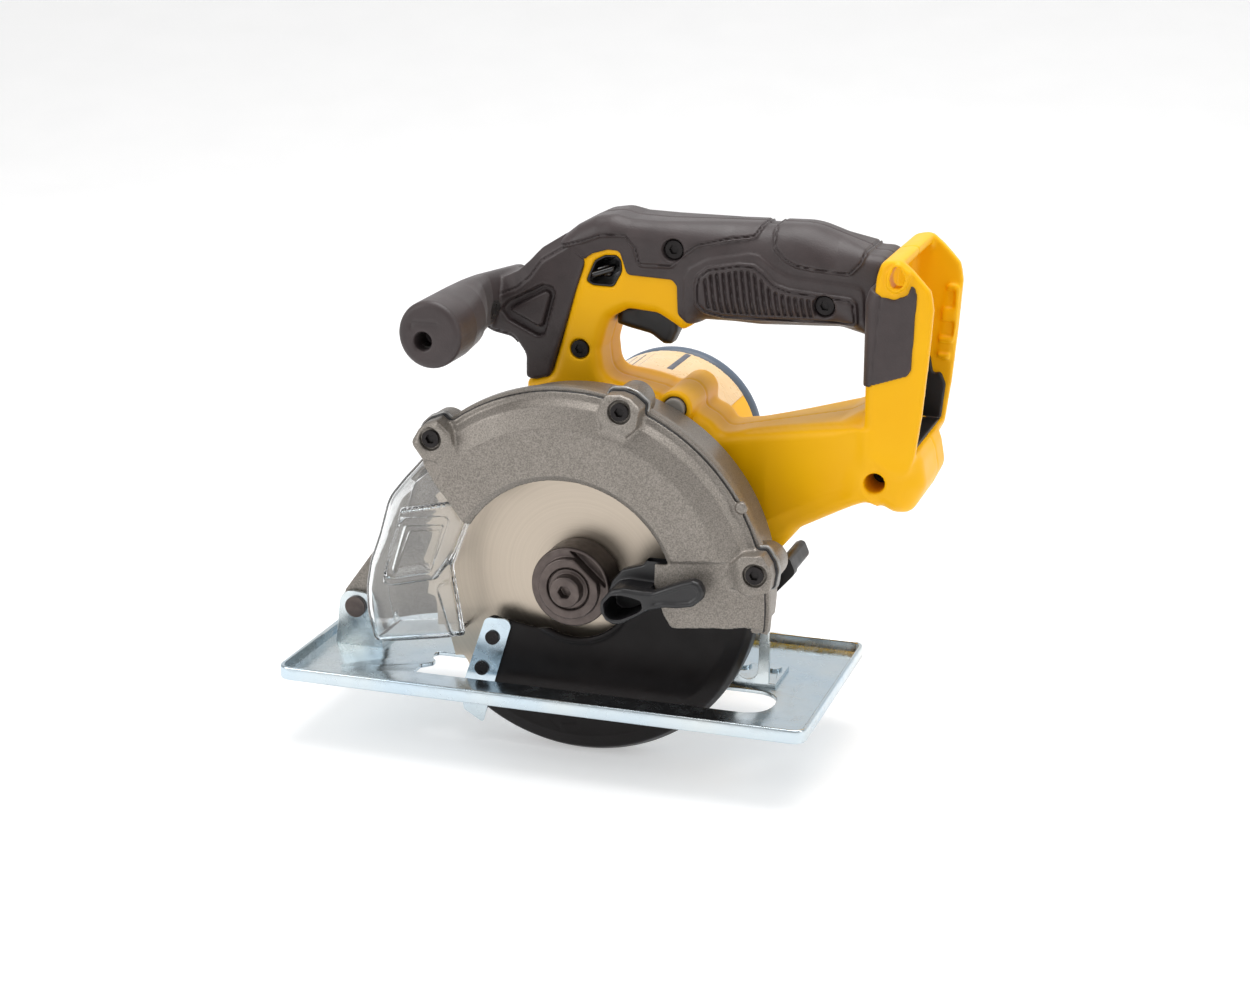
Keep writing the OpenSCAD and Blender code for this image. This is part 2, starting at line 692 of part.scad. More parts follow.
module lower_guard() color("#4F4848") at_arbor() difference() {
    union() {
        // outer plate
        slab(guard_outer_y, -guard_near) guard_plate();
        // inner plate with its hub
        slab(guard_far, guard_inner_y) guard_plate();
        bar([0, 0], nose_r + 5, guard_far, guard_inner_y);
        // rolled rim
        swept(227, 379, [[guard_r - guard_sheet, guard_outer_y], [guard_r, guard_outer_y],
            [guard_r, guard_inner_y], [guard_r - guard_sheet, guard_inner_y]]);
    }
    bar([0, 0], nose_r + run_gap, guard_far - 1, guard_inner_y + 1);
    for (p = strip_rivets_at) bar(p, 2, guard_outer_y - 1, -guard_near + 1);
    for (p = lever_posts) bar(p, 1.6, guard_outer_y - 1, -guard_near + 1);
}

strip_rivets_at = [[-36, -27.5], [-41, -41.5]];

module guard_strip() color("#B4BABF") at_arbor() difference() {
    slab(guard_outer_y - strip_t, guard_outer_y) polygon(rounded([
        [-39, -19, 3], [-50.5, -52, 0.5], [-49.5, -61, 1], [-41, -66, 1], [-37, -52, 0.5], [-27, -19, 3]]));
    for (p = strip_rivets_at) bar(p, 2, guard_outer_y - 5, 0);
}

module strip_rivets() color("#26221F") at_arbor() for (p = strip_rivets_at) {
    bar(p, 3, guard_outer_y - strip_t - 1, guard_outer_y - strip_t);
    bar(p, 1.95, guard_outer_y - strip_t, -guard_near + 0.6);
}

lever_posts = [[25, -4], [30, 5]];
lever_y = -cover_face - 1.2;

module guard_lever() color("#26221F") at_arbor() {
    difference() {
        union() {
            slab(lever_y - 8, lever_y) polygon(rounded([
                [12, -5, 5], [38, -9, 3], [44, 2, 4], [57, 3, 3], [60, 8, 4], [57, 12, 3], [44, 11, 4],
                [32, 14, 6], [17, 6, 6]]));
            // neck that stands on the lower guard
            slab(guard_outer_y - 14, guard_outer_y) polygon(rounded([
                [23, -8, 1.5], [31, -6, 1.5], [33.5, 7, 1.5], [27, 9, 1.5], [23.5, -1, 1]]));
            slab(lever_y - 1, guard_outer_y) polygon(rounded([
                [23, -8, 1.5], [31, -6, 1.5], [33.5, 7, 1.5], [27, 9, 1.5], [23.5, -1, 1]]));
        }
        // teardrop eye
        slab(lever_y - 9, lever_y - 2.5) polygon(rounded([[17, -3, 3], [33, -5.5, 2], [31, 7, 3],
            [22, 4.5, 3]]));
    }
    for (p = lever_posts) bar(p, 1.55, guard_outer_y - eps, -guard_near + 0.4);
}

// ---- shoe ----

module shoe() color("#B4BCC2") difference() {
    union() {
        translate([shoe_x0, -shoe_near, 0]) difference() {
            linear_extrude(lip_h) polygon(rounded([[0, 0, 6], [shoe_x1 - shoe_x0, 0, 6],
                [shoe_x1 - shoe_x0, shoe_w, 6], [0, shoe_w, 6]]));
            translate([0, 0, shoe_t]) linear_extrude(lip_h) polygon(rounded([[shoe_t, shoe_t, 5],
                [shoe_x1 - shoe_x0 - shoe_t, shoe_t, 5], [shoe_x1 - shoe_x0 - shoe_t, shoe_w - shoe_t, 5],
                [shoe_t, shoe_w - shoe_t, 5]]));
        }
    }
    // blade slot, round at the rear
    translate([0, 0, -1]) linear_extrude(shoe_t + 2) polygon(rounded([
        [slot_x0, slot_y0, 2], [slot_x1, slot_y0, (slot_y1 - slot_y0) * 0.49],
        [slot_x1, slot_y1, (slot_y1 - slot_y0) * 0.49], [slot_x0, slot_y1, 2]]));
    for (p = front_feet) translate([p[0], p[1], -1]) cylinder(r = 2, h = 10);
    for (p = rear_feet) translate([p[0], p[1], -1]) cylinder(r = 2, h = 10);
}

front_ear_y = [case_y0 - bracket_t - 0.7, case_y1 + 0.7];
foot_far = 27;
front_feet = [[pivot[0] - 5, 21], [pivot[0] + 6, 21]];
rear_feet = [[clamp[0] - 5, 30], [clamp[0] + 8, 30]];

module front_bracket() color("#B4BCC2") {
    difference() {
        union() {
            for (y = front_ear_y) slab(y, y + bracket_t) polygon(rounded([
                [pivot[0] - 10, foot_z, 1], [pivot[0] + 12, foot_z, 1],
                [pivot[0] + 8, pivot_h + 6, 6], [pivot[0] - 7, pivot_h + 7, 6]]));
            translate([pivot[0] - 10, front_ear_y[1], foot_z]) cube([22, foot_far - front_ear_y[1],
                bracket_t]);
            translate([pivot[0] - 10, front_ear_y[0],
                foot_z]) cube([22, front_ear_y[1] - front_ear_y[0] + 1, bracket_t]);
        }
        bar([pivot[0], pivot_h], pivot_r + eps, -10, 40);
        for (p = front_feet) translate([p[0], p[1], 0]) cylinder(r = 2, h = 10);
    }
}

// Arc slot about the depth pivot, in which the clamp bolt slides
clamp_arc_r = norm(clamp - pivot);
clamp_arc_a = atan2(clamp[1] - pivot[1], clamp[0] - pivot[0]);

function about_pivot(r, a) = [pivot[0], pivot_h] + polar(r, a);

// Band of half-width w along an arc about the depth pivot, with round ends
function arc_band(w, a0, a1) = concat(
    [for (i = [0:10]) about_pivot(clamp_arc_r + w, a0 + (a1 - a0) * i / 10)],
    [for (i = [1:7]) about_pivot(clamp_arc_r, a1) + polar(w, a1 + i * 22.5)],
    [for (i = [10:-1:0]) about_pivot(clamp_arc_r - w, a0 + (a1 - a0) * i / 10)],
    [for (i = [1:7]) about_pivot(clamp_arc_r, a0) + polar(w, a0 + 180 + i * 22.5)]);

module rear_bracket() color("#B4BCC2") {
    low = clamp_arc_a - slot_below;
    high = clamp_arc_a + slot_above;
    difference() {
        union() {
            slab(bracket_y, bracket_y + bracket_t) intersection() {
                union() {
                    polygon(arc_band(clamp_r + 4.5, low, high));
                    translate([clamp[0] - 13, foot_z]) square([23, pivot_h]);
                }
                translate([shoe_x0, foot_z]) square([shoe_x1 - shoe_x0, 200]);
            }
            translate([clamp[0] - 13, bracket_y, foot_z]) cube([26, 22, bracket_t]);
        }
        slab(bracket_y - 1, bracket_y + bracket_t + 1) polygon(arc_band(clamp_r + 0.4, low, high));
        for (p = rear_feet) translate([p[0], p[1], 0]) cylinder(r = 2, h = 10);
    }
}

module bracket_rivets() color("#9AA0A5") for (p = concat(front_feet, rear_feet)) translate([p[0], p[1],
    0.4]) {
    cylinder(r = 1.95, h = shoe_t + bracket_t - 0.4);
    translate([0, 0, shoe_t + bracket_t - 0.4]) cylinder(r = 3.2, h = 1.1);
}

module pivot_pin() color("#26221F") at_arbor() {
    bar(pivot, 4.6, front_ear_y[0] - 1.4, front_ear_y[0] - eps);
    bar(pivot, pivot_r - run_gap, front_ear_y[0] - eps, front_ear_y[1] + bracket_t + 1.4);
    bar(pivot, 4.6, front_ear_y[1] + bracket_t + eps, front_ear_y[1] + bracket_t + 1.6);
}

module clamp_bolt() color("#77797B") at_arbor() {
    bar(clamp, 7, case_y0 + 0.1, case_y0 + 1.6);
    bar(clamp, clamp_r, case_y0 + 1.6, body_near + 8);
}

lever_hub_y = bracket_y + bracket_t + 0.4;

module depth_lever() color("#26221F") at_arbor() difference() {
    union() {
        bar(clamp, 8, lever_hub_y, lever_hub_y + 8);
        slab(lever_hub_y + 3, lever_hub_y + 8) polygon(rounded([
            clamp3(-3, -6, 1), clamp3(5, -6, 1), clamp3(19, 10, 3), clamp3(16, 17, 3), clamp3(10, 14, 3),
            clamp3(-6, 3, 1)]));
        slab(lever_hub_y + 3, lever_hub_y + 28) polygon(rounded([
            clamp3(15, 8, 1), clamp3(19, 10, 3), clamp3(16, 17, 3), clamp3(12, 15, 1)]));
    }
    bar(clamp, clamp_r + run_gap, lever_hub_y - 1, lever_hub_y + 10);
}

function clamp3(dx, dz, r) = [clamp[0] + dx, clamp[1] + dz, r];

// ---- body shells ----

// Side outline of the shells, counter-clockwise, without the soft grip's thickness
body_outline = [
    [26, -2, 3], [56, 7, 10], [77, 12, 5], [86, 23, 8], [104, 34, 8], [rear_x - 24, 41, 6],
    [rear_x - 14, 36, 7],
    [rear_x - 3, 36.5, 8], [rear_x + 2.4, 50, 5], [rear_x - 1, 60, 3],
    [bay_x - 1, 66, 2], [bay_x - 1, handle_top - 10, 4],
    [rear_x - 30, bar_top - 7.5, 12], [rear_x - 55, bar_top, 25],
    [50, bar_top - 0.5, 60], [20, bar_top - 0.5, 20], [6, bar_top + 1, 10], [-6, bar_top - 2, 12],
    [-17, bar_top - 10, 5],
    [-7, bar_top - 16, 3], [-11, 115, 20], [-17, 92, 20], [-21, 79, 4], [-32, 75, 3], [-33, 4, 12],
    [-22, -4, 6]];

// Hand opening, counter-clockwise
hand_opening = [
    [42, 65, 6], [50, 58.5, 4], [rear_x - 38, 70, 6], [rear_x - 28, 76, 6], [rear_x - 28, grip_low - 4, 10],
    [rear_x - 40, bar_low, 8], [rear_x - 74, bar_low - 1.5, 30], [41, bar_low - 0.5, 4],
    [37.5, bar_low - 6, 1.5], [33.5, bar_low - 4, 1], [29, bar_low + 3, 3], [12, bar_low + 3, 3],
    [5.5, 90, 6],
    [7, 77, 4], [24, 74, 6]];

// Side outline of the dock's walls
dock_outline = [
    [bay_x - 5, 52, 4], [rear_x - 6, 47, 6], [rear_x, 56, 4], [rear_x, handle_top - 18, 4],
    [bay_x + 6, handle_top - 6.5, 4], [bay_x - 2, handle_top - 8.5, 3], [bay_x - 5, handle_top - 24, 6]];

module body_2d(d) {
    difference() {
        polygon(rounded(inset(body_outline, d)));
        polygon(rounded(inset(hand_opening, -d)));
    }
    circle(r = waist_r - d);
}

module shell_half(y0, y1, dock_y0, dock_y1, inner_y0, inner_y1) difference() {
    union() {
        difference() {
            slab(y0, y1) body_2d(0);
            slab(inner_y0, inner_y1) body_2d(wall);
        }
        slab(dock_y0, dock_y1) polygon(rounded(dock_outline));
        for (p = shell_screws_at) bar(p, screw_post_r, y0, y1);
    }
    // battery bay, open to the rear and the top
    translate([bay_x, dock_near + dock_wall, bay_floor]) cube([60, dock_w - 2 * dock_wall, 200]);
    // slot for the trigger
    translate([9.2, mid_y - trigger_w / 2 - free_gap, bar_low - 4])
        cube([22.1, trigger_w + 2 * free_gap, trigger_top - bar_low + 12]);
    // windows of the lock-off
    slab(-50, 200) polygon(rounded(lock_off_window));
    // screw holes
    for (p = shell_screws_at) {
        bar(p, screw_shank_r + run_gap, y0 - 1, body_far - 4);
        bar(p, screw_head_r + 0.2, y0 - 50, body_near + screw_head_t + 0.3);
    }
    bar(motor_axis, barrel_r - 8, mid_y + 10, 200);
    slab(0, plate_y + plate_t + 9) gear_case_outline(case_wall + free_gap);
}

lock_off_window = [[-3.5, handle_top - 28, 2], [8, handle_top - 28, 2], [11, handle_top - 19, 2],
    [7, handle_top - 15.5, 2],
    [-2, handle_top - 18, 2]];

module rails(y0, y1) translate([rear_x - 9, y0, bay_floor + 26])
    cube([3, y1 - y0, handle_top - bay_floor - 50]);

module left_shell() color("#F2BD0C") at_arbor() {
    difference() {
        union() {
            shell_half(body_near, mid_y, dock_near, mid_y, body_near + wall, mid_y + 1);
            // boss for the spindle lock
            bar(lock_at, 9, lock_y + 2.5, body_near + 1);
            // lanyard eyelet
            bar(eyelet_at, eyelet_d / 2 + 3.2, dock_near - 3, dock_near + 6);
        }
        bar(lock_at, lock_r + run_gap, 0, lock_y + 6 + lock_travel + free_gap);
        bar(lock_at, 3 + run_gap, 0, mid_y - 0.5);
        bar(eyelet_at, eyelet_d / 2, dock_near - 10, dock_near + 7);
    }
    rails(dock_near + dock_wall - eps, dock_near + dock_wall + rail);
}

module right_shell() color("#F2BD0C") at_arbor() {
    shell_half(mid_y, body_far, mid_y, dock_far, mid_y - 1, body_far - wall);
    rails(dock_far - dock_wall - rail, dock_far - dock_wall + eps);
}

// Soft grip over the handle bar, counter-clockwise
grip_outline = [
    [-5, handle_top - 16, 3], [5, handle_top - 12.5, 3], [11, handle_top - 12.5, 3],
    [15, handle_top - 22, 3],
    [33, handle_top - 22, 2], [33.5, handle_top - 36, 2], [41, grip_low, 4],
    [rear_x - 74, grip_low - 1.8, 30],
    [rear_x - 40, grip_low, 8], [rear_x - 30, grip_low - 4, 6], [bay_x - 5.3, grip_low - 6, 1],
    [bay_x - 5.3, handle_top - 8, 1],
    [rear_x - 30, handle_top - 8, 5], [rear_x - 55, handle_top + 0.5, 25], [50, handle_top, 60],
    [20, handle_top, 20],
    [6, handle_top + 1.5, 10], [-6, handle_top - 1.5, 12], [-19, handle_top - 11, 4]];
// Space inside the grip for the shells
grip_core_outline = [
    [-12, handle_top - 30, 1], [33, handle_top - 60, 1], [40.7, bar_low - 0.8, 4],
    [rear_x - 74, bar_low - 1.8, 30],
    [rear_x - 40, bar_low - 0.3, 8], [rear_x - 10, bar_low - 20, 1], [rear_x - 10, bar_top - 6.9, 1],
    [rear_x - 30, bar_top - 7.2, 12], [rear_x - 55, bar_top + 0.3, 25], [50, bar_top - 0.2, 60],
    [20, bar_top - 0.2, 20],
    [6, bar_top + 1.3, 10], [-6.2, bar_top - 1.7, 12], [-18, bar_top - 9.6, 5]];

module grip_half(y0, y1, inner_y0, inner_y1) difference() {
    slab(y0, y1) polygon(rounded(grip_outline));
    slab(inner_y0, inner_y1) polygon(rounded(grip_core_outline));
    for (p = shell_screws_at) bar(p, screw_head_r + 0.6, -10, mid_y);
}

module left_grip() color("#474142") at_arbor() grip_half(body_near - skin, mid_y, body_near, mid_y + 1);
module right_grip() color("#474142") at_arbor() grip_half(mid_y, body_far + skin, mid_y - 1, body_far);

panel_outline = [[bay_x - 5, 86, 1.5], [bay_x + 9, 90, 2], [rear_x - 7, 94, 3],
    [rear_x - 6, handle_top - 18, 4],
    [rear_x - 13, handle_top - 24, 2], [bay_x - 4.5, handle_top - 26, 3]];

module rear_panels() color("#474142") at_arbor() {
    slab(dock_near - skin, dock_near) polygon(rounded(panel_outline));
    slab(dock_far, dock_far + skin) polygon(rounded(panel_outline));
}

module shell_screws() color("#26221F") at_arbor() for (p = shell_screws_at)
    screw(p, screw_head_r, screw_head_t, screw_shank_r, body_near + 0.3, body_far - 5);

// ---- front grip ----

arm_outline = [
    [-34.5, 73.5, 4], [-33, 75.3, 1], [-21.8, 79.5, 3], [-17.6, 92, 18], [-11.6, 115, 18],
    [-7.7, handle_top - 19, 2],
    [-19.3, handle_top - 13.5, 3], [-31, handle_top - 21, 8], [-38, 116, 6], [-56, 110, 8], [-60, 100, 8],
    [-46, 92, 6], [-36, 90, 5]];

module front_arm() color("#474142") at_arbor() difference() {
    union() {
        slab(body_near + 1, body_far - 1) polygon(rounded(arm_outline));
        bar(grip_axis, front_grip_r - 2, body_near + 1, body_far - 1);
    }
    bar(grip_axis, core_outer_r, -50, 200);
    // recess
    for (y = [[body_near, body_near + 2.5], [body_far - 2.5, body_far]])
        slab(y[0], y[1]) polygon(rounded([[-24, 96, 2], [-20, 100, 2], [-18.5, 112, 2], [-23, 114.5, 2],
            [-40, 106, 2], [-38, 102, 2]]));
}

core_outer_r = 7;

module grip_core() color("#9AA0A5") at_arbor()
    tube(grip_axis, core_outer_r, core_bore_r, -front_grip_near + 6, front_grip_far - 4);

// Two soft sleeves on the core, one each side of the arm
module front_grip() color("#474142") at_arbor() difference() {
    union() {
        sleeve(-front_grip_near, body_near + 1);
        sleeve(front_grip_far, body_far - 1);
    }
    bar(grip_axis, core_outer_r, -front_grip_near + 6, front_grip_far - 4);
    bar(grip_axis, core_bore_r, -front_grip_near - 1, -front_grip_near + 7);
}

// Round sleeve from its free end at y0 to the arm at y1, slimmer in the middle
module sleeve(y0, y1) {
    along = y1 - y0;
    nose = sign(along) * min(3.5, abs(along) / 3);
    translate([grip_axis[0], 0, grip_axis[1]]) rotate([90, 0, 0]) rotate_extrude()
        polygon([[0, -y0], [front_grip_r - 4, -y0], [front_grip_r, -y0 - nose],
            [front_grip_r, -y0 - 2 * nose], [front_grip_r - 2, -y0 - along * 0.75],
            [front_grip_r - 2, -y1], [0, -y1]]);
}

// ---- controls and electrics ----

module terminal_block() color("#2E2B2A") at_arbor() difference() {
    translate([bay_x, mid_y - 14, bay_floor]) cube([9, 28, 24]);
    for (i = [-2:2]) translate([bay_x + 2, mid_y + i * 5 - 0.4, bay_floor + 4]) cube([5, 0.8, 21]);
}

module terminals() color("#C08A4E") at_arbor()
    for (i = [-2:2]) translate([bay_x + 2, mid_y + i * 5 - 0.4, bay_floor + 4]) cube([5, 0.8, 28]);

module trigger() color("#2B2726") at_arbor()
    slab(mid_y - trigger_w / 2, mid_y + trigger_w / 2) polygon(rounded([
        [9.7, grip_low - 6, 1], [14, grip_low - 6.5, 2], [21, grip_low - 8.5, 4],
        [27.5, grip_low - 12.5, 1], [30, grip_low - 12, 1],
        [30.6, grip_low - 6, 3], [29.5, trigger_top, 1], [11, trigger_top, 1]]));

module switch() color("#3A3A3C") at_arbor()
    translate([11.5, body_near + wall + free_gap, trigger_top + trigger_travel + 0.6])
        cube([14.5, body_w - 2 * wall - 2 * free_gap, bar_top - wall - trigger_top - trigger_travel - 1.8]);

module lock_off() color("#1F1C1B") at_arbor() {
    slab(body_near - 1, body_far + 1) difference() {
        polygon(rounded([[-2.2, handle_top - 22, 1], [5.5, handle_top - 24.5, 1],
            [8, handle_top - 18.8, 1.5],
            [6.2, handle_top - 17.6, 1], [-1.4, handle_top - 19.4, 1]]));
    }
}

module spindle_lock() color("#6E7073") at_arbor() {
    bar(lock_at, lock_r, lock_y, lock_y + 6);
    bar(lock_at, 3, lock_y + 6 - eps, mid_y - lock_travel - 1);
}

// ---- assembly ----

blade();
outer_flange();
inner_flange();
blade_bolt();
bolt_washer();
spindle();
output_gear();
front_bearing();
rear_bearing();
layshaft();
lay_gear();
lay_bushes();
rotor_shaft();
motor_pinion();
armature();
commutator();
fan();
motor_bearings();
motor_can();
magnets();
brush_holder();
brushes();
motor_housing();
motor_end_cap();
gear_case();
bearing_plate();
case_screws();
upper_guard();
guard_cover();
guard_window();
cover_screws();
lower_guard();
guard_strip();
strip_rivets();
guard_lever();
guard_ring();
guard_spring();
shoe();
front_bracket();
rear_bracket();
bracket_rivets();
pivot_pin();
clamp_bolt();
depth_lever();
left_shell();
right_shell();
left_grip();
right_grip();
rear_panels();
front_arm();
front_grip();
grip_core();
shell_screws();
terminal_block();
terminals();
trigger();
switch();
lock_off();
spindle_lock();
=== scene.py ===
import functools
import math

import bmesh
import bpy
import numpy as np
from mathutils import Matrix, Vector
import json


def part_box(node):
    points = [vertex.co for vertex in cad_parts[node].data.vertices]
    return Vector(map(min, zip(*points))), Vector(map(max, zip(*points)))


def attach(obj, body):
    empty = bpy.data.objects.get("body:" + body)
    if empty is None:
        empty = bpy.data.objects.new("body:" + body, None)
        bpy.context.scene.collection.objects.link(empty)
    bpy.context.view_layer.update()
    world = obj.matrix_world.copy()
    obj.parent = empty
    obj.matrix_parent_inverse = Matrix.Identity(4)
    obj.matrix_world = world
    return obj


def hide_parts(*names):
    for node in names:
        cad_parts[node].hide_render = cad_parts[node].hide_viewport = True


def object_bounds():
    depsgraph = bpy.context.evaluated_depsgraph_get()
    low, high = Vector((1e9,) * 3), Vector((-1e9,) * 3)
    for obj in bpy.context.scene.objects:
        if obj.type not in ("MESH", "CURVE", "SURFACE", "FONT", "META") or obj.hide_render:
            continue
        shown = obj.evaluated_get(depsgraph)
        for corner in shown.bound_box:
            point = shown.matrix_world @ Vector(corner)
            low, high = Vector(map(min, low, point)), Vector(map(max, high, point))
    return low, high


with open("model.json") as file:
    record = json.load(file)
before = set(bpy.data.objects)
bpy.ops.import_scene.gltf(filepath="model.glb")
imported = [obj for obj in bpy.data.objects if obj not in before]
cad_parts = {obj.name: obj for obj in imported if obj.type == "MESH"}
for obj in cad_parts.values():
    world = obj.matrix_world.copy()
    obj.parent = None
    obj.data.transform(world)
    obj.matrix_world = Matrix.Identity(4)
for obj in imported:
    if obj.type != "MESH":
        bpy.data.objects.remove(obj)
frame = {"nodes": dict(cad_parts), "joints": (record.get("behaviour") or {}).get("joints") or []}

# %% [markdown]
# # A compact metal-cutting circular saw
# The saw is a yellow plastic body with a black rubber handle, a cast guard round a toothed blade,
# a clear window in front of the cut and a bright zinc-plated shoe underneath. Its exact frame comes
# from a packed construction model. This file gives every visible part its moulded or cast shape and
# its finish. Each part stays where the frame says, so nothing is placed by eye.

cad_box = [list(corner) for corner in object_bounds()]
spin = next(joint for joint in frame["joints"] if joint["name"] == "blade_spin")
ARBOR = 1000 * spin["pos_m"][2]
print("CAD box in mm:", [[round(1000 * c) for c in corner] for corner in cad_box])
print("arbor above the sole:", round(ARBOR, 2), "mm")

# %% [markdown]
# ## Camera and light
# A product shot of a tool uses a long lens, a white sweep and large soft lamps. The lens here looks
# at the blade side, a little from the rear and from above. A broad lamp overhead draws the long
# highlight on the handle, one at the left fills the cast guard, a narrow one picks out the battery
# dock, and a pale world keeps the shadows open. Broad lamps matter most for zinc and cast metal,
# which show little but what they reflect.

# %% Camera
def metres(x, y, z):
    """A place in millimetres from the arbor, as metres in the frame."""
    return Vector((x, y, z + ARBOR)) / 1000


azimuth, elevation = math.radians(18.4), math.radians(17.1)
level = math.cos(elevation)
look = Vector((-math.sin(azimuth) * level, math.cos(azimuth) * level, -math.sin(elevation)))
CAMERA_DISTANCE = 0.977
lens = bpy.data.cameras.new("product_lens")
lens.lens = 68.7
lens.sensor_width = 36
camera = bpy.data.objects.new("product_camera", lens)
camera.location = metres(13.6, 14.1, 29.6) - CAMERA_DISTANCE * look
camera.rotation_euler = look.to_track_quat("-Z", "Y").to_euler()
bpy.context.scene.collection.objects.link(camera)
bpy.context.scene.camera = camera
print("camera stands", round(camera.location.z, 3), "m above the sole")

# %% Lamps, world and floor
def softbox(name, place, width, height, power):
    """A rectangular lamp at place, in metres, turned to the middle of the saw."""
    lamp = bpy.data.lights.new(name, "AREA")
    lamp.shape = "RECTANGLE"
    lamp.size = width
    lamp.size_y = height
    lamp.energy = power
    holder = bpy.data.objects.new(name, lamp)
    holder.location = place
    aim = metres(10, 15, 40) - Vector(place)
    holder.rotation_euler = aim.to_track_quat("-Z", "Y").to_euler()
    bpy.context.scene.collection.objects.link(holder)


softbox("overhead_softbox", (0.1, 0.15, 1.3), 1.1, 0.9, 15)
softbox("left_softbox", (-1.1, -0.9, 0.8), 0.9, 0.9, 8)
softbox("right_strip", (1.3, -0.3, 0.7), 0.4, 1.0, 3)
world = bpy.data.worlds.new("white_sweep")
bpy.context.scene.world = world
world.use_nodes = True
sky = world.node_tree.nodes["Background"]
sky.inputs["Color"].default_value = (1, 1, 1, 1)
sky.inputs["Strength"].default_value = 0.5
bpy.context.scene.view_settings.view_transform = "Standard"

# %% [markdown]
# ## Finishes
# Every finish is made from nodes, so it has no seams and needs no unwrapping. A colour is written
# as the hex value that a painter would mix and one function turns it to linear light. A second
# function adds a node with its settings and links. Patterns are sized in millimetres from the real
# surface, and the few that are too fine to show at arm's length are drawn coarser.

# %% Colour and node helpers
def linear(hex_colour):
    """An sRGB hex colour as the linear RGBA that a shader works in."""
    parts = [int(hex_colour[i:i + 2], 16) / 255 for i in (1, 3, 5)]
    return [p / 12.92 if p <= 0.04045 else ((p + 0.055) / 1.055) ** 2.4 for p in parts] + [1]


def add(tree, kind, settings=None, **links):
    """Adds a node, sets its properties, and sets or links each named input."""
    node = tree.nodes.new("ShaderNode" + kind)
    for key, value in (settings or {}).items():
        setattr(node, key, value)
    for key, value in links.items():
        name = key.replace("_", " ")
        socket = node.inputs[int(key[1:])] if key[0] == "i" and key[1:].isdigit() else node.inputs[name]
        if isinstance(value, bpy.types.NodeSocket):
            tree.links.new(value, socket)
        else:
            socket.default_value = value
    return node


def per_mm(size):
    """The noise scale that makes one feature this many millimetres wide."""
    return 1000 / size


def noise(tree, size, detail, rough=0.5):
    """Noise in the piece's own space with features of a size in millimetres."""
    place = add(tree, "TexCoord")
    return add(tree, "TexNoise", Vector=place.outputs["Object"], Scale=per_mm(size),
               Detail=detail, Roughness=rough)


def ramp(tree, source, low, high, colours):
    """Maps a value between low and high onto two colours."""
    node = add(tree, "ValToRGB", Fac=source)
    node.color_ramp.elements[0].position = low
    node.color_ramp.elements[1].position = high
    for stop, colour in zip(node.color_ramp.elements, colours):
        stop.color = linear(colour) if isinstance(colour, str) else (colour, colour, colour, 1)
    return node

# %% A finish that varies a little
def drift(tree, shader, socket, patches, low, high, ends):
    """Lets one of the shader's sockets drift between two ends with a noise."""
    mixed = ramp(tree, patches.outputs["Fac"], low, high, ends)
    tree.links.new(mixed.outputs["Color"], shader.inputs[socket])


def finish(name, mottle=None, handled=None, grain=None, low=0.3, high=0.7, **surface):
    """A new material. mottle is a size in mm and two colours that the surface drifts between,
    handled is a size and two roughnesses, as where hands have rubbed it, and grain is a size, a
    depth and, if it isn't 3, how ragged it is."""
    made = bpy.data.materials.new(name)
    made.use_nodes = True
    tree = made.node_tree
    shader = tree.nodes["Principled BSDF"]
    for key, value in surface.items():
        shader.inputs[key.replace("_", " ")].default_value = value
    if mottle:
        drift(tree, shader, "Base Color", noise(tree, mottle[0], 3.0), low, high, mottle[1:])
    if handled:
        drift(tree, shader, "Roughness", noise(tree, handled[0], 4.0), 0.35, 0.65, handled[1:])
    if grain:
        size, depth, detail = (*grain, 3.0)[:3]
        spots = noise(tree, size, detail, 0.55)
        bump = add(tree, "Bump", Height=spots.outputs["Fac"], Distance=depth / 1000, Strength=1.0)
        tree.links.new(bump.outputs["Normal"], shader.inputs["Normal"])
    return made


# %% [markdown]
# ### Moulded plastics
# The body is glass-filled nylon, moulded in a spark-eroded tool, so it is satin with a faint grain
# of about 0.3 mm. The rubber grip is a thermoplastic elastomer with a coarser grain that scatters
# the light into a soft grey. The small levers are the same nylon in black, and the lock-off is
# polished where a thumb slides on it. Nylon and rubber both have an IOR near 1.5.

# %% Moulded plastics
yellow_nylon = finish("yellow_nylon", (40, "#F1B000", "#F6B900"), (22, 0.36, 0.46),
                      (0.35, 0.012), IOR=1.53, Specular_IOR_Level=0.22)

# the real grain is 0.3 mm; 0.7 mm shows it at arm's length
rubber_overmould = finish("rubber_overmould", (9, "#342B2B", "#3D3333"), (14, 0.4, 0.5),
                          (0.7, 0.09), IOR=1.5, Sheen_Weight=0.1, Sheen_Roughness=0.35)

black_nylon = finish("black_nylon", (12, "#151416", "#1B1A1C"), (8, 0.34, 0.46), (0.4, 0.015), IOR=1.53)

polished_black = finish("polished_black_abs", (10, "#08080A", "#0D0C0E"), (5, 0.12, 0.2),
                        IOR=1.54, Coat_Weight=0.3, Coat_Roughness=0.05)

blue_grey_nylon = finish("blue_grey_nylon", (15, "#4C5A6C", "#566476"), (10, 0.4, 0.5),
                         (0.4, 0.015), IOR=1.53)
warm_grey_nylon = finish("warm_grey_nylon", (15, "#7E7A74", "#8A8680"), (6, 0.4, 0.5),
                         (0.4, 0.015), IOR=1.53)
print("plastics:", [m.name for m in (yellow_nylon, rubber_overmould, black_nylon, blue_grey_nylon)])

# %% [markdown]
# ### Cast and plated metals
# The guard is a die casting under silver lacquer: metal flakes in the paint give a fine sparkle,
# so the grain drives both the colour and the bump. Zinc plate on rolled steel is a clean mirror
# broken by the sheet's own ripple, bluish with a straw-yellow cast from its passivation.
# The hidden gear case is left as it came from the die.

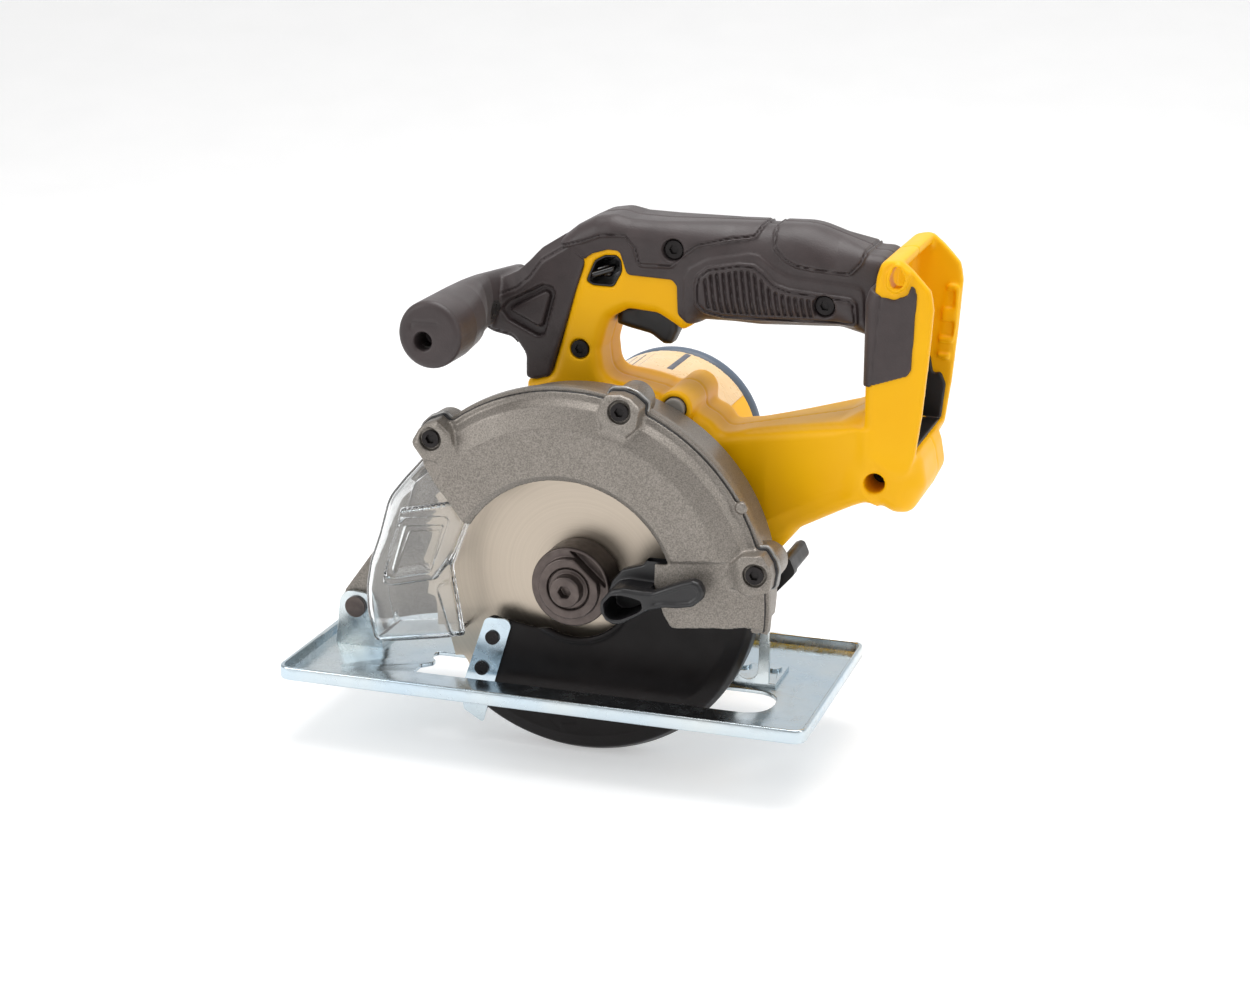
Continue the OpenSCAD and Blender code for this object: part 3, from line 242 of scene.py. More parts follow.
# %% Cast metals
# lacquer flakes are 0.05 mm; 0.55 mm is the finest that shows
silver_lacquer = finish("silver_lacquer_on_casting", (0.55, "#746E67", "#9A938B"), (12, 0.42, 0.52),
                        (0.55, 0.06), low=0.32, high=0.68, Metallic=0.62, Coat_Weight=0.15,
                        Coat_Roughness=0.35)

bare_casting = finish("bare_casting", (3, "#8F8E8C", "#A9A8A6"), (5, 0.42, 0.58), (0.8, 0.05), Metallic=1.0)

# %% Zinc plate and plain steel
zinc_plate = finish("zinc_plate_on_steel", (45, "#BFD0DC", "#D2D8D8"), (6, 0.16, 0.3),
                    (14, 0.03, 1.0), low=0.35, high=0.72, Metallic=1.0)

ground_steel = finish("ground_steel", (2, "#8E8D8C", "#A5A4A2"), (1.5, 0.26, 0.38), Metallic=1.0)
print("metals:", [m.name for m in (silver_lacquer, bare_casting, zinc_plate, ground_steel)])

# %% [markdown]
# ### Blade, black oxide and enamel
# A blade is ground flat on a turning table, which leaves fine circles round the bore. They are
# drawn as rings of roughness and bump that depend only on the distance from the arbor. Flanges and
# screws are steel in black oxide, an oiled warm black. The lower guard is pressed steel in
# semi-gloss black enamel with a slight orange peel of about 1.5 mm.

# %% Ground blade
def arbor_rings(tree, width):
    """Noise that changes only with the distance from the arbor, in rings of a width in mm."""
    place = add(tree, "TexCoord")
    flat = add(tree, "VectorMath", {"operation": "MULTIPLY_ADD"}, i0=place.outputs["Object"],
               i1=(1, 0, 1), i2=(0, 0, -ARBOR / 1000))
    reach = add(tree, "VectorMath", {"operation": "LENGTH"}, i0=flat.outputs["Vector"])
    return add(tree, "TexNoise", {"noise_dimensions": "1D"}, W=reach.outputs["Value"],
               Scale=per_mm(width), Detail=4.0, Roughness=0.7)


blade_steel = finish("ground_blade_steel", Metallic=1.0, Anisotropic=0.3)
tree = blade_steel.node_tree
shader = tree.nodes["Principled BSDF"]
rings = arbor_rings(tree, 1.2)
drift(tree, shader, "Base Color", rings, 0.3, 0.7, ("#B8AC9D", "#C0B4A5"))
drift(tree, shader, "Roughness", rings, 0.3, 0.7, (0.34, 0.4))
# the rings are 2 micrometres deep
bump = add(tree, "Bump", Height=rings.outputs["Fac"], Distance=2e-6, Strength=0.5)
tree.links.new(bump.outputs["Normal"], shader.inputs["Normal"])

# %% Black oxide and enamel
black_oxide = finish("black_oxide_on_steel", (4, "#544B48", "#645A56"), (3, 0.28, 0.42),
                     (0.5, 0.01), Metallic=0.7)

blackened_screw = finish("blackened_screw_steel", (3, "#1B1818", "#272323"), (2, 0.25, 0.4), Metallic=0.6)

black_enamel = finish("black_enamel_on_steel", (20, "#0E0A0A", "#151010"), (9, 0.3, 0.42),
                      (1.5, 0.02, 1.0), IOR=1.5, Specular_IOR_Level=0.2)

# %% [markdown]
# ### Clear window, label and motor metals
# The window is moulded polycarbonate, IOR 1.585, clear but slightly grey where it is thick.
# The band round the motor is a printed film left blank but for a bar and a few ruled lines.
# Copper, sintered magnets and oiled bronze are inside the motor and gearbox.

# %% Clear polycarbonate and label film
clear_polycarbonate = finish("clear_polycarbonate", (30, "#F6F9FA", "#FFFFFF"), (4, 0.02, 0.08),
                             IOR=1.585, Transmission_Weight=0.97)

label_film = finish("blank_label_film", (8, "#EBC487", "#EFCD98"), (6, 0.25, 0.35),
                    IOR=1.47, Coat_Weight=0.4, Coat_Roughness=0.1)

dark_ink = finish("ruled_dark_ink", (5, "#4A4E5C", "#565A68"), (4, 0.3, 0.4), IOR=1.5)

# %% Motor and gearbox metals
copper = finish("enamelled_copper", (2, "#9E5230", "#B9683F"), (2, 0.25, 0.4), Metallic=1.0)

ferrite = finish("sintered_ferrite", (2, "#2C2C30", "#3A3A3E"), (3, 0.6, 0.75), IOR=1.6)

bronze = finish("oiled_bronze", (2, "#8C6A3A", "#A07C48"), (3, 0.3, 0.45), Metallic=1.0)
print("finishes made:", len([m for m in bpy.data.materials if m.use_nodes]))

# %% [markdown]
# ## How the mouldings are formed
# A moulded part has flowing blends that are slow to model face by face. Here a part is written as
# a field: a number at every point of a fine grid, negative inside the part and growing outside.
# Two fields join with their smaller value, one is cut from another with the larger, and a smooth
# version of either gives a fillet of any size. A skin is then drawn where the field is zero.
# The outlines are side views in millimetres from the arbor, each corner with its own radius.

# %% Rounded outlines
def rounded(corners):
    """The outline through corners (x, z, radius), each corner rounded by its radius."""
    points = []
    for i, (x, z, r) in enumerate(corners):
        here = np.array([x, z], float)
        before = np.array(corners[i - 1][:2], float)
        after = np.array(corners[(i + 1) % len(corners)][:2], float)
        back, on = before - here, after - here
        u, v = back / np.linalg.norm(back), on / np.linalg.norm(on)
        half = math.acos(float(np.clip(u @ v, -1, 1))) / 2
        if r <= 0 or half > math.radians(89):
            points.append(here)
            continue
        reach = min(r / math.tan(half), 0.49 * np.linalg.norm(back), 0.49 * np.linalg.norm(on))
        for t in np.linspace(0, 1, 7):
            # a quadratic curve between the two ends of the fillet
            a, b, c = (1 - t) ** 2, 2 * t * (1 - t) * 0.93, t ** 2
            points.append(here + (a * u * reach + c * v * reach) / (a + b + c))
    return np.array(points)


def arc(radius, start, end, steps=24):
    """Corners on a circle round the arbor, from start to end in degrees."""
    turns = np.radians(np.linspace(start, end, steps + 1))
    return [(radius * math.cos(t), radius * math.sin(t), 0) for t in turns]


# %% Distance from an outline
def inside_out(points, u, v):
    """The signed distance from a closed outline at every (u, v), negative inside."""
    near = np.full(np.broadcast(u, v).shape, 1e9, np.float32)
    inside = np.zeros(near.shape, bool)
    for (au, av), (bu, bv) in zip(points, np.roll(points, -1, axis=0)):
        du, dv = bu - au, bv - av
        if du * du + dv * dv < 1e-9:
            continue
        t = np.clip(((u - au) * du + (v - av) * dv) / (du * du + dv * dv), 0, 1)
        near = np.minimum(near, (u - au - t * du) ** 2 + (v - av - t * dv) ** 2)
        if dv:
            inside ^= ((av > v) != (bv > v)) & (u < au + (v - av) / dv * du)
    return np.where(inside, -np.sqrt(near), np.sqrt(near)).astype(np.float32)


def within(corners, x, z):
    """The signed distance from a side outline with its corners rounded."""
    return inside_out(rounded(corners), x, z)


# %% Solids, joins and cuts
def thick(flat, y, start, end, edge=1.0):
    """An outline's distance made solid between two y, its rim rounded by edge."""
    a = flat + edge
    b = np.abs(y - (start + end) / 2) - (end - start) / 2 + edge
    return np.minimum(np.maximum(a, b), 0) + np.hypot(np.maximum(a, 0), np.maximum(b, 0)) - edge


def join(a, b, blend=0.5):
    """Both fields, with a fillet of about blend where they meet."""
    h = np.clip(0.5 + 0.5 * (b - a) / blend, 0, 1)
    return b + h * (a - b) - blend * h * (1 - h)


def cut(a, b, blend=0.5):
    """Field a without field b, the edge eased by about blend."""
    return -join(-a, b, blend)


def common(*fields):
    """Only what is inside every field."""
    return functools.reduce(np.maximum, fields)


def step(distance, width):
    """1 inside a line and 0 outside, with a soft edge of a width in millimetres."""
    t = np.clip(0.5 - distance / width, 0, 1)
    return t * t * (3 - 2 * t)


def groove(distance, width):
    """1 on a line and 0 a half width away from it."""
    return step(np.abs(distance) - width / 4, width / 2)


# %% Skin of a field
def crossings(field):
    """For each cell of the grid, where its edges cross zero: the mean place and how many do."""
    shape = tuple(n - 1 for n in field.shape)
    total, count = np.zeros(shape + (3,), np.float32), np.zeros(shape, np.float32)
    for axis in range(3):
        a = np.moveaxis(field, axis, 0)
        first, second = a[:-1], a[1:]
        crosses = (first < 0) != (second < 0)
        t = np.where(crosses, first / np.where(crosses, first - second, 1), 0)
        for j in (0, 1):
            for k in (0, 1):
                near = (slice(None), slice(j, a.shape[1] - 1 + j), slice(k, a.shape[2] - 1 + k))
                hit = np.moveaxis(crosses[near], 0, axis).astype(np.float32)
                count += hit
                total[..., axis] += np.moveaxis(t[near], 0, axis)
                for other, side in zip([n for n in range(3) if n != axis], (j, k)):
                    total[..., other] += hit * side
    return total, count


def skin(field):
    """Corners, in grid units, and four-sided faces of the surface where the field is zero."""
    total, count = crossings(field)
    filled = np.argwhere(count > 0)
    number = np.full(count.shape, -1, np.int64)
    number[tuple(filled.T)] = np.arange(len(filled))
    places = filled + total[tuple(filled.T)] / count[tuple(filled.T)][:, None]
    faces = []
    for axis in range(3):
        a, n = np.moveaxis(field, axis, 0) < 0, np.moveaxis(number, axis, 0)
        enters = a[:-1, 1:-1, 1:-1] != a[1:, 1:-1, 1:-1]
        i, j, k = np.nonzero(enters)
        ring = np.stack([n[i, j, k], n[i, j + 1, k], n[i, j + 1, k + 1], n[i, j, k + 1]], 1)
        flip = a[i, j + 1, k + 1] if axis != 1 else ~a[i, j + 1, k + 1]
        faces.append(np.where(flip[:, None], ring, ring[:, ::-1]))
    return places, np.concatenate(faces)


# %% [markdown]
# The grid rounds its answer to the nearest cell, so the corners of the skin are pulled onto the
# true zero of the field once they are found. One more helper turns the result into an object that
# rides on its body and stands for the construction parts that it replaces.

# %% Pull the skin onto the field
def sample(field, places):
    """The field's value between its grid points."""
    base = np.clip(np.floor(places).astype(int), 0, np.array(field.shape) - 2)
    part = places - base
    value = np.zeros(len(places), np.float32)
    for corner in np.ndindex(2, 2, 2):
        weight = np.prod(np.where(np.array(corner), part, 1 - part), axis=1)
        value += weight * field[tuple((base + corner).T)]
    return value


def settle(field, places):
    """Moves places, in grid units, onto the zero of the field along its slope."""
    for _ in range(2):
        value = sample(field, places)
        slope = np.stack([sample(field, places + d) - sample(field, places - d)
                          for d in np.eye(3) * 0.5], 1)
        size = np.maximum((slope ** 2).sum(1), 1e-4)
        places = places - np.clip(slope * (value / size)[:, None], -0.4, 0.4)
    return places


# %% Finished pieces
SHARP = math.radians(35)  # edges that turn by more than this stay crisp


def show(name, mesh, material, body, nodes):
    """Shows a mesh as a piece on its body, in place of the construction parts it stands for."""
    mesh.materials.clear()
    mesh.materials.append(material)
    mesh.shade_smooth()
    piece = bpy.data.objects.new(name, mesh)
    bpy.context.scene.collection.objects.link(piece)
    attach(piece, body)
    if nodes:
        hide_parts(*nodes)
    size = [round(1000 * (max(line) - min(line)), 1) for line in zip(*(v.co for v in mesh.vertices))]
    print(name, "faces", len(mesh.polygons), "size in mm", size)


def as_mesh(name, corners, faces):
    """A mesh from corners in millimetres from the arbor."""
    mesh = bpy.data.meshes.new(name)
    mesh.from_pydata(((corners + [0, 0, ARBOR]) / 1000).tolist(), [], faces.tolist())
    return mesh


def mould(name, shape, low, high, pitch, material, body, slot, *nodes):
    """Forms shape(x, y, z) between two corners of a box, in millimetres, as a finished piece."""
    x, y, z = (np.arange(a, b + pitch, pitch, dtype=np.float32) for a, b in zip(low, high))
    field = np.ascontiguousarray(np.broadcast_to(
        shape(x[:, None, None], y[None, :, None], z[None, None, :]), (len(x), len(y), len(z))))
    corners, faces = skin(field)
    corners = np.array(low) + settle(field, corners) * pitch
    show(name, as_mesh(name, corners, faces), material, body, nodes)

# %% [markdown]
# ## Yellow body
# Two nylon shells meet on the tool's middle plane and carry everything else: the column in front of
# the hand opening, the arm that runs back to the battery, the open battery dock and a rounded foot
# below it. It could be built face by face with subdivision, but the arm, dock and foot melt into
# each other, so it is formed as one field from side outlines with wide fillets between them.

# %% Side outlines of the body
MIDDLE = 36  # the plane between the two shells, in mm from the blade
BODY = [(26, -2, 3), (56, 7, 10), (77, 12, 5), (86, 23, 8), (104, 34, 8), (116, 41, 6), (126, 36, 7),
        (133, 36.5, 8), (138.5, 48, 7), (136.5, 60, 3), (118, 66, 2), (118, 134.5, 4), (110, 134.5, 12),
        (86, 142.6, 25), (50, 141.9, 50), (26, 141.2, 20), (13, 141.6, 8), (6, 143.1, 8), (-1, 142, 8),
        (-8, 138.6, 8), (-17, 131.5, 3), (-7, 126, 3), (-11, 115, 20), (-17, 92, 20), (-21, 79, 4),
        (-32, 75, 3), (-33, 4, 12), (-22, -4, 6)]
HAND_OPENING = [(42, 65, 6), (50, 58.5, 4), (102, 70, 6), (113.4, 76, 6), (113.4, 105.5, 5),
                (100, 107, 12), (66, 105.5, 30), (42, 106.5, 4), (38.6, 102.4, 1.5), (35, 100.4, 1),
                (30.6, 103.2, 5), (24.5, 106.6, 7), (12, 107.6, 5), (4.6, 103.5, 4), (2.4, 98, 5),
                (0.2, 90, 8), (1.5, 78, 8), (24, 74, 6)]
DOCK = [(113.8, 57, 4), (131, 53, 6), (134.5, 60, 5), (136.8, 78, 20), (138.6, 99.5, 20),
        (139.9, 119.5, 4), (138.6, 126.5, 5), (132, 133.5, 8), (126.5, 138.2, 5), (119, 137, 4),
        (113.8, 121, 6)]
ARM_LEDGE = [(60, 59.6, 1), (100, 68.2, 1), (116, 71.5, 1), (116, 90, 1), (60, 90, 1)]
FOOT = [(106, 40, 6), (116, 41, 6), (126, 36, 7), (133, 36.5, 8), (138.5, 48, 7), (136.5, 59, 4),
        (118, 64, 6), (108, 54, 6)]
RAIL = [(133.5, 87, 2), (135.5, 86, 2), (138.2, 99, 10), (139.2, 117.5, 2), (134, 118.5, 2),
        (132.5, 110, 2), (131.8, 100, 10), (130.5, 88, 2)]
LOCK_OFF_WINDOW = [(-5.2, 118.4, 1.5), (-2.2, 116.8, 2), (6.5, 116.6, 2), (10, 123, 2), (9.8, 127.5, 2),
                   (7.8, 129.6, 2), (3, 129.4, 3), (-1.5, 127, 3)]
GRIP = [(-5.8, 127.2, 1), (-2.2, 129.9, 3), (4.4, 131.9, 3), (9.4, 131.7, 2.5), (12.6, 122.2, 2.5),
        (31.5, 121.4, 2.5), (33.5, 119, 2), (33.9, 107.5, 3), (38, 102.8, 2), (44, 104, 4), (66, 102.5, 30),
        (98, 103.8, 8), (110, 102, 4), (113.2, 88, 1), (118, 88, 1), (118, 140, 1), (110, 137.5, 5),
        (86, 146.2, 25), (50, 146.2, 50), (26, 144.9, 20), (13, 145.3, 8), (6, 146.8, 8), (-2, 145.6, 8),
        (-10, 141.4, 8), (-20, 132.5, 2)]
ARM = [(-31.6, 76.2, 2), (-28, 75.6, 2), (-21.2, 77.4, 2), (-17.6, 89.6, 18), (-12.9, 103.6, 18),
       (-5.8, 126, 1), (-5.8, 127.6, 1), (-14.2, 137, 2), (-25.1, 130.2, 4), (-30.6, 124.6, 4),
       (-36, 119.8, 5), (-53.8, 111.3, 4), (-58, 101, 8), (-46, 94.2, 8), (-37.5, 92.6, 6),
       (-31.4, 86, 5)]
SCREW_SEAT = 22.4
SHELL_SCREWS = [(-8, 90), (32, 133.5), (94, 115), (119, 49)]
SPINDLE_LOCK = (34.5, 70)
MOTOR = (8, 34)
EYELET = [(125.7, 138, 2), (121.6, 132.4, 4), (122, 127.4, 3), (125.2, 125.4, 3), (129.2, 127.6, 3),
          (131.5, 133.5, 2)]
EYELET_HOLE = [(124.9, 136, 1), (122.9, 131.4, 2), (124, 127.4, 2), (127.8, 127.6, 2), (129.2, 131.4, 1.5),
               (126.9, 135.6, 1)]


def silhouette(x, z):
    """The body's outline with the hand opening cut from it."""
    return np.maximum(within(BODY, x, z), -within(HAND_OPENING, x, z))


def post(x, z, centre, radius):
    """Distance from an upright post seen from the side."""
    return np.hypot(x - centre[0], z - centre[1]) - radius


def bore(body, x, y, z, centre, radius, start, end, ease):
    """A body with a round hole across it from start to end, the hole's mouth eased."""
    return cut(body, thick(post(x, z, centre, radius), y, start, end, 0.3), ease)


# %% Arm, dock and foot
def arm_swell(x, z):
    """How far the arm's side stands out of the flat: most on the ridge along its lower edge."""
    above = (z - 25) * 0.866 - (x - 70) * 0.5
    swell = np.where(above > 0, 4.4 - above * 0.12, 4.4 + above * 0.8)
    # a ledge steps in along the top of the arm
    ledge = within(ARM_LEDGE, x, z)
    # towards the dock the sides flare out until they meet its walls
    flare = np.clip((x - 64) / 52, 0, 1) ** 1.3 * np.clip((76 - z) / 6, 0, 1)
    swell = np.clip(swell, -3.5, 4.4) * np.clip((x - 50) / 22, 0, 1)
    return swell + (15.5 - swell) * flare - 2.6 * step(ledge, 1.0) * np.clip((x - 58) / 6, 0, 1)


def box_at(x, y, z, low, high, edge=1.0):
    """A box between two corners with its edges rounded."""
    sides = [np.abs(v - (a + b) / 2) - (b - a) / 2 + edge for v, a, b in zip((x, y, z), low, high)]
    out = sum(np.maximum(s, 0) ** 2 for s in sides)
    return np.sqrt(out) + np.minimum(common(*sides), 0) - edge


def dock_sides(x, y, z):
    """The dock's outside: round in front, where the hand is, and square where the battery slides."""
    edge = 4.5 - 3.5 * np.clip((x - 118) / 5, 0, 1)
    return thick(within(DOCK, x, z), y, 4, 68, edge)


def throat_at(x, y, z):
    """The opening at the bottom of the bay that the contacts reach through."""
    return box_at(x, y, z, (112, 17, 66), (170, 55, 84), 1.5)


def dock_shape(x, y, z):
    """Two side walls, a floor and a hooded front round an open bay, with its rails and an eyelet."""
    walls = join(dock_sides(x, y, z), thick(within(FOOT, x, z), y, 5, 57, 9), 4)
    bay = box_at(x, y, z, (118.5, 8, 61.5), (170, 64, 134.6), 4)
    bay = join(bay, box_at(x, y, z, (127.5, 8, 61.5), (170, 64, 190), 1), 0.3)
    walls = cut(walls, bay, 0.5)
    mirrored = np.abs(y - MIDDLE)
    rail = thick(within(RAIL, x, z), mirrored, 26.2, 30, 0.5)
    for place, height in ((112, 7.5), (99.6, 6.5), (91.6, 4.6), (84.2, 4.6)):
        low, high = place - height / 2, place + height / 2
        pocket = box_at(x, mirrored, z, (129, 24, low), (137.2, 27.6, high), 0.5)
        rail = cut(rail, pocket, 0.3)
    walls = join(walls, rail, 0.4)
    walls = join(walls, thick(within(EYELET, x, z), y, 1.6, 10, 1.2), 0.8)
    return cut(walls, thick(within(EYELET_HOLE, x, z), y, -6, 12, 0.2), 0.8)


# %% Whole body
def trigger_well(x, y, z):
    """The slot that the trigger slides in."""
    return box_at(x, y, z, (9.2, 30, 95), (31.3, 42, 128), 0.5)


def body_shape(x, y, z):
    flat = silhouette(x, z)
    swell = arm_swell(x, z) * np.clip(np.abs(y - MIDDLE) / 16, 0, 1) * np.sign(MIDDLE - y)
    shell = thick(np.maximum(flat, x - 119), y + swell, 20, 52, 5)
    shell = join(shell, dock_shape(x, y, z), 4)
    # the shells swell round the spindle lock and run back as ridges to the motor
    shell = join(shell, thick(post(x, z, SPINDLE_LOCK, 7.2), y, 14.2, 54, 1.2), 3)
    shell = join(shell, thick(post(x, z, (43, 57), 7), y, 22, 54, 2.5), 6)
    shell = join(shell, thick(post(x, z, MOTOR, 42), y, 46, 54, 3), 4)
    # what the rubber covers is cut away, so that only one surface shows; the dock stays whole
    shell = common(shell, -(within(GRIP, x, z) + 0.8) - 99 * (x > 117), -(within(ARM, x, z) + 0.8))
    shell = cut(shell, trigger_well(x, y, z), 0.5)
    shell = cut(shell, thick(within(LOCK_OFF_WINDOW, x, z), y, -9, 99, 0), 1.6)
    shell = cut(shell, throat_at(x, y, z), 0.8)
    for centre in SHELL_SCREWS:
        shell = bore(shell, x, y, z, centre, 4.1, -20, SCREW_SEAT, 1.2)
    shell = bore(shell, x, y, z, SPINDLE_LOCK, 4.9, 0, 23, 0.5)
    # the front of the trigger has a lower pocket, with room above it for its travel
    shell = cut(shell, box_at(x, y, z, (3.4, 29.8, 90), (15, 42.2, 114.8), 1), 0.4)
    # the parting line of the two shells
    return shell + 0.45 * groove(y - MIDDLE, 2.4)


mould("yellow_body", body_shape, (-36, -1, -9), (145, 70, 149), 0.85,
      yellow_nylon, "housing", "yellow_housing", "left_shell", "right_shell")

# %% [markdown]
# ## Rubber grip
# The handle is overmoulded with soft rubber: a smooth pad at the front, a bare rail, a ribbed pad
# where the fingers close and a smooth pad at the back. Each pad is a side outline that lifts the
# surface by about a millimetre, and the ribs are a cosine along the handle inside the ribbed pad.

# %% Pads of the grip
FRONT_PAD = [(-24, 129, 1), (-6, 134, 4), (1.7, 137, 3), (11.5, 137.8, 4), (15.5, 133.5, 2),
             (17.5, 126, 3), (31.7, 126.3, 3), (37.6, 131.7, 4), (42, 135.2, 4), (53.7, 137.9, 6),
             (65.3, 139.6, 3), (69, 148, 2), (69, 152, 1), (-24, 152, 1)]
REAR_PAD = [(71.4, 144.2, 2), (72.9, 136.3, 3), (77.7, 132, 4), (82, 129.8, 5), (88.5, 128.8, 6),
            (104.2, 127.7, 3), (108.7, 132.5, 3), (111.2, 140.5, 2), (111, 152, 1), (74, 152, 1)]
RAIL_LINE = [(36.5, 122, 2), (38.6, 126.6, 3), (46.7, 131, 5), (63.5, 134.2, 3), (67.1, 133.7, 2),
             (74.4, 128.5, 3), (80.2, 126, 5), (109.5, 123.7, 4), (111, 100, 2), (60, 100, 2), (36.5, 104, 2)]
RIBBED_PAD = [(41.1, 119.8, 2), (42.2, 124.2, 3), (46.6, 127.9, 4), (59.7, 130.4, 6), (65.6, 130.3, 4),
              (69.9, 127.4, 4), (74.4, 123, 5), (80.2, 121.3, 6), (90.2, 120.5, 6), (104.5, 119.3, 3),
              (107.1, 117.4, 3), (108, 107.5, 3), (52.7, 106.3, 4), (44.5, 108.5, 4), (41.5, 112, 3)]


def grip_shape(x, y, z):
    # the cross-section is flat-sided over the trigger and round where the palm closes
    edge = 8 + 6 * np.clip((x - 25) / 30, 0, 1) - 7 * np.clip((x - 98) / 12, 0, 1)
    bar = thick(silhouette(x, z) - 2.4, y, 18, 54, edge) + 1.1
    ribbed = within(RIBBED_PAD, x, z)
    # each pad stands up, with a fine groove just inside its edge
    for pad, depth, inset, width in ((within(FRONT_PAD, x, z), 1.1, 0.9, 1.1),
                                     (within(REAR_PAD, x, z), 1.1, 0.9, 1.1), (ribbed, 1.2, 1.3, 1.2)):
        bar = bar - 1.2 * step(pad, 0.9) + depth * groove(pad + inset, width)
    # a second line runs along the handle above the ribbed pad
    bar = bar - 0.7 * step(within(RAIL_LINE, x, z), 0.9)
    ribs = 0.5 + 0.5 * np.cos(2 * np.pi * (x + (z - 112) * 0.12) / 2.6)
    ribs = ribs * step(ribbed + 3, 1.0) * step(x - 91, 1.5) * step(44.5 - x, 1.5)
    bar = bar + 1.7 * ribs ** 1.5 * step(-np.abs(y - MIDDLE) + 9, 3)
    bar = cut(bar, -within(GRIP, x, z), 0.6)
    for centre in SHELL_SCREWS[1:3]:
        bar = bore(bar, x, y, z, centre, 4.4, -20, SCREW_SEAT, 1.4)
    bar = cut(bar, trigger_well(x, y, z), 0.5)
    return bar + 0.4 * groove(y - MIDDLE, 2.2)


mould("rubber_grip", grip_shape, (-24, 16, 86), (119, 56, 148.5), 0.55,
      rubber_overmould, "housing", "soft_grip", "left_grip", "right_grip")

# %% [markdown]
# ## Front handle
# A rubber-covered bar for the second hand stands across the tool on a short arm. The arm has a
# raised border and a three-cornered channel round an island, which stiffens the moulding. The bar
# is barrel shaped, with rounded ends and a blind hole in the near one. Both are one moulding, so
# the arm and bar share a fillet.

# %% Front handle
ARM_FACE = [(-33, 73, 1), (-15, 73, 1), (-1, 124, 1), (-11.6, 133.3, 2), (-24.1, 125.6, 3),
            (-29.5, 118.4, 3), (-35, 113.6, 4), (-49.5, 107.1, 2), (-54, 99, 4), (-45.5, 95.6, 6),
            (-37, 94, 5), (-32, 86.5, 4)]
CHANNEL = [(-42.1, 104.2, 1.5), (-39.4, 107.6, 2), (-24, 115.6, 2), (-19.6, 115.1, 1.5), (-18.3, 112.5, 2),
           (-23.2, 95.2, 1.5), (-26.1, 94.1, 1.5), (-38.8, 100, 3)]
ISLAND = [(-38.7, 104.3, 1), (-22.6, 113.2, 1.2), (-20.6, 111.7, 1.2), (-24.2, 98.8, 1), (-26, 98.2, 1)]
FRONT_GRIP = (-46.2, 107.4)
FRONT_HOLE = (-48.8, 104.9)


def front_bar(x, y, z):
    """The hand bar: round at its ends, and its inner side waisted to let the arm show."""
    stations = [-46, -28, -12, 2, 14, 52, 62]
    right, left, lower, upper = (np.interp(y, stations, radii) for radii in (
        [13, 13, 10.5, 5.5, 3.4, 4.5, 6], [13, 13.2, 13.4, 13.2, 12.6, 9.2, 8.4],
        [13.4, 13.4, 12.6, 11.4, 9.6, 8.4, 8], [13.4, 13.4, 13.4, 13.2, 12.6, 9, 8]))
    across, up = x - FRONT_GRIP[0], z - FRONT_GRIP[1]
    width = np.where(across > 0, right, left)
    height = np.where(up > 0, upper, lower)
    round_side = (np.hypot(across / width, up / height) - 1) * np.minimum(width, height)
    return thick(round_side, y, -46, 57, 2.6)


def front_handle_shape(x, y, z):
    out = np.abs(y - MIDDLE)
    arm = thick(within(ARM, x, z), y, 20.2, 51.8, 1.2)
    # the long upper edge is chamfered back from the face
    face = within(ARM_FACE, x, z)
    arm = cut(arm, -(face - 1.25 * (15.5 - out)) * 0.62, 0.5)
    channel = np.maximum(within(CHANNEL, x, z), -within(ISLAND, x, z))
    side = step(12 - out, 1)
    arm = arm + 2.6 * step(channel, 0.9) * side + 0.9 * groove(face, 1.1) * side
    whole = join(arm, front_bar(x, y, z), 1.6)
    # a small corner is moulded in the end of the bar
    corner = np.abs(np.maximum((x + 53.5) * -1, z - 112.5)) - 0.6
    corner = np.maximum(corner, np.abs(x + 48) + np.abs(z - 111) - 7)
    whole = whole + 0.5 * step(corner, 0.8) * step(y + 44.6, 0.6)
    return bore(whole, x, y, z, FRONT_HOLE, 3.7, -60, -34, 1.0)


mould("front_handle", front_handle_shape, (-64, -48, 71), (-4, 60, 139), 0.62,
      rubber_overmould, "housing", "soft_grip", "front_arm", "front_grip")

# %% Side panels of the dock
PANEL_REAR = [(118.1, 88.4, 1), (131.2, 93, 2), (132.8, 95.8, 2), (134.1, 125.2, 2), (133, 128.6, 1),
              (130.8, 129.4, 1), (129.6, 125.4, 2)]
PANEL = [(111, 87, 1), *PANEL_REAR, (125, 122.8, 3), (119.4, 124.2, 1), (111, 128, 1)]
PANEL_FACE = [(116.6, 87, 1), *PANEL_REAR, (119.4, 124.2, 1), (118.2, 113, 20)]


def panel_shape(x, y, z):
    # the rubber follows the wall, round its front edge and under the handle
    mirrored = MIDDLE - np.abs(y - MIDDLE)
    wall = dock_sides(x, mirrored, z)
    cover = cut(np.maximum(wall - 0.9, -1.6 - wall), -within(PANEL, x, z), 0.8)
    cover = np.maximum(cover, mirrored - 20)
    cover = cut(cover, box_at(x, mirrored, z, (117, 6.6, 60), (150, 40, 150), 0.5), 0.2)
    return cover + 0.65 * groove(within(PANEL_FACE, x, z) + 0.4, 1.2)


mould("dock_panels", panel_shape, (111, 1.5, 85), (136, 70.5, 131), 0.6,
      rubber_overmould, "housing", "soft_grip", "rear_panels")

# %% [markdown]
# A dark nylon carrier for the battery's contacts lines the lower end of the bay.

# %% Lining of the bay
LINING = [(119, 62, 0.5), (133.4, 62, 1), (134.8, 76.4, 2), (132.6, 81.6, 2), (129.5, 80.4, 2),
          (128, 88, 1), (119, 88, 1)]


def lining_shape(x, y, z):
    side = thick(within(LINING, x, z), np.abs(y - MIDDLE), 26.8, 29, 0.4)
    rest = np.minimum(box_at(x, y, z, (118.2, 8.6, 60.9), (133, 63.4, 62.2), 0.3),
                      box_at(x, y, z, (117.9, 8.6, 61), (119.2, 63.4, 88), 0.3))
    return cut(join(side, rest, 0.4), throat_at(x, y, z), 0.3)


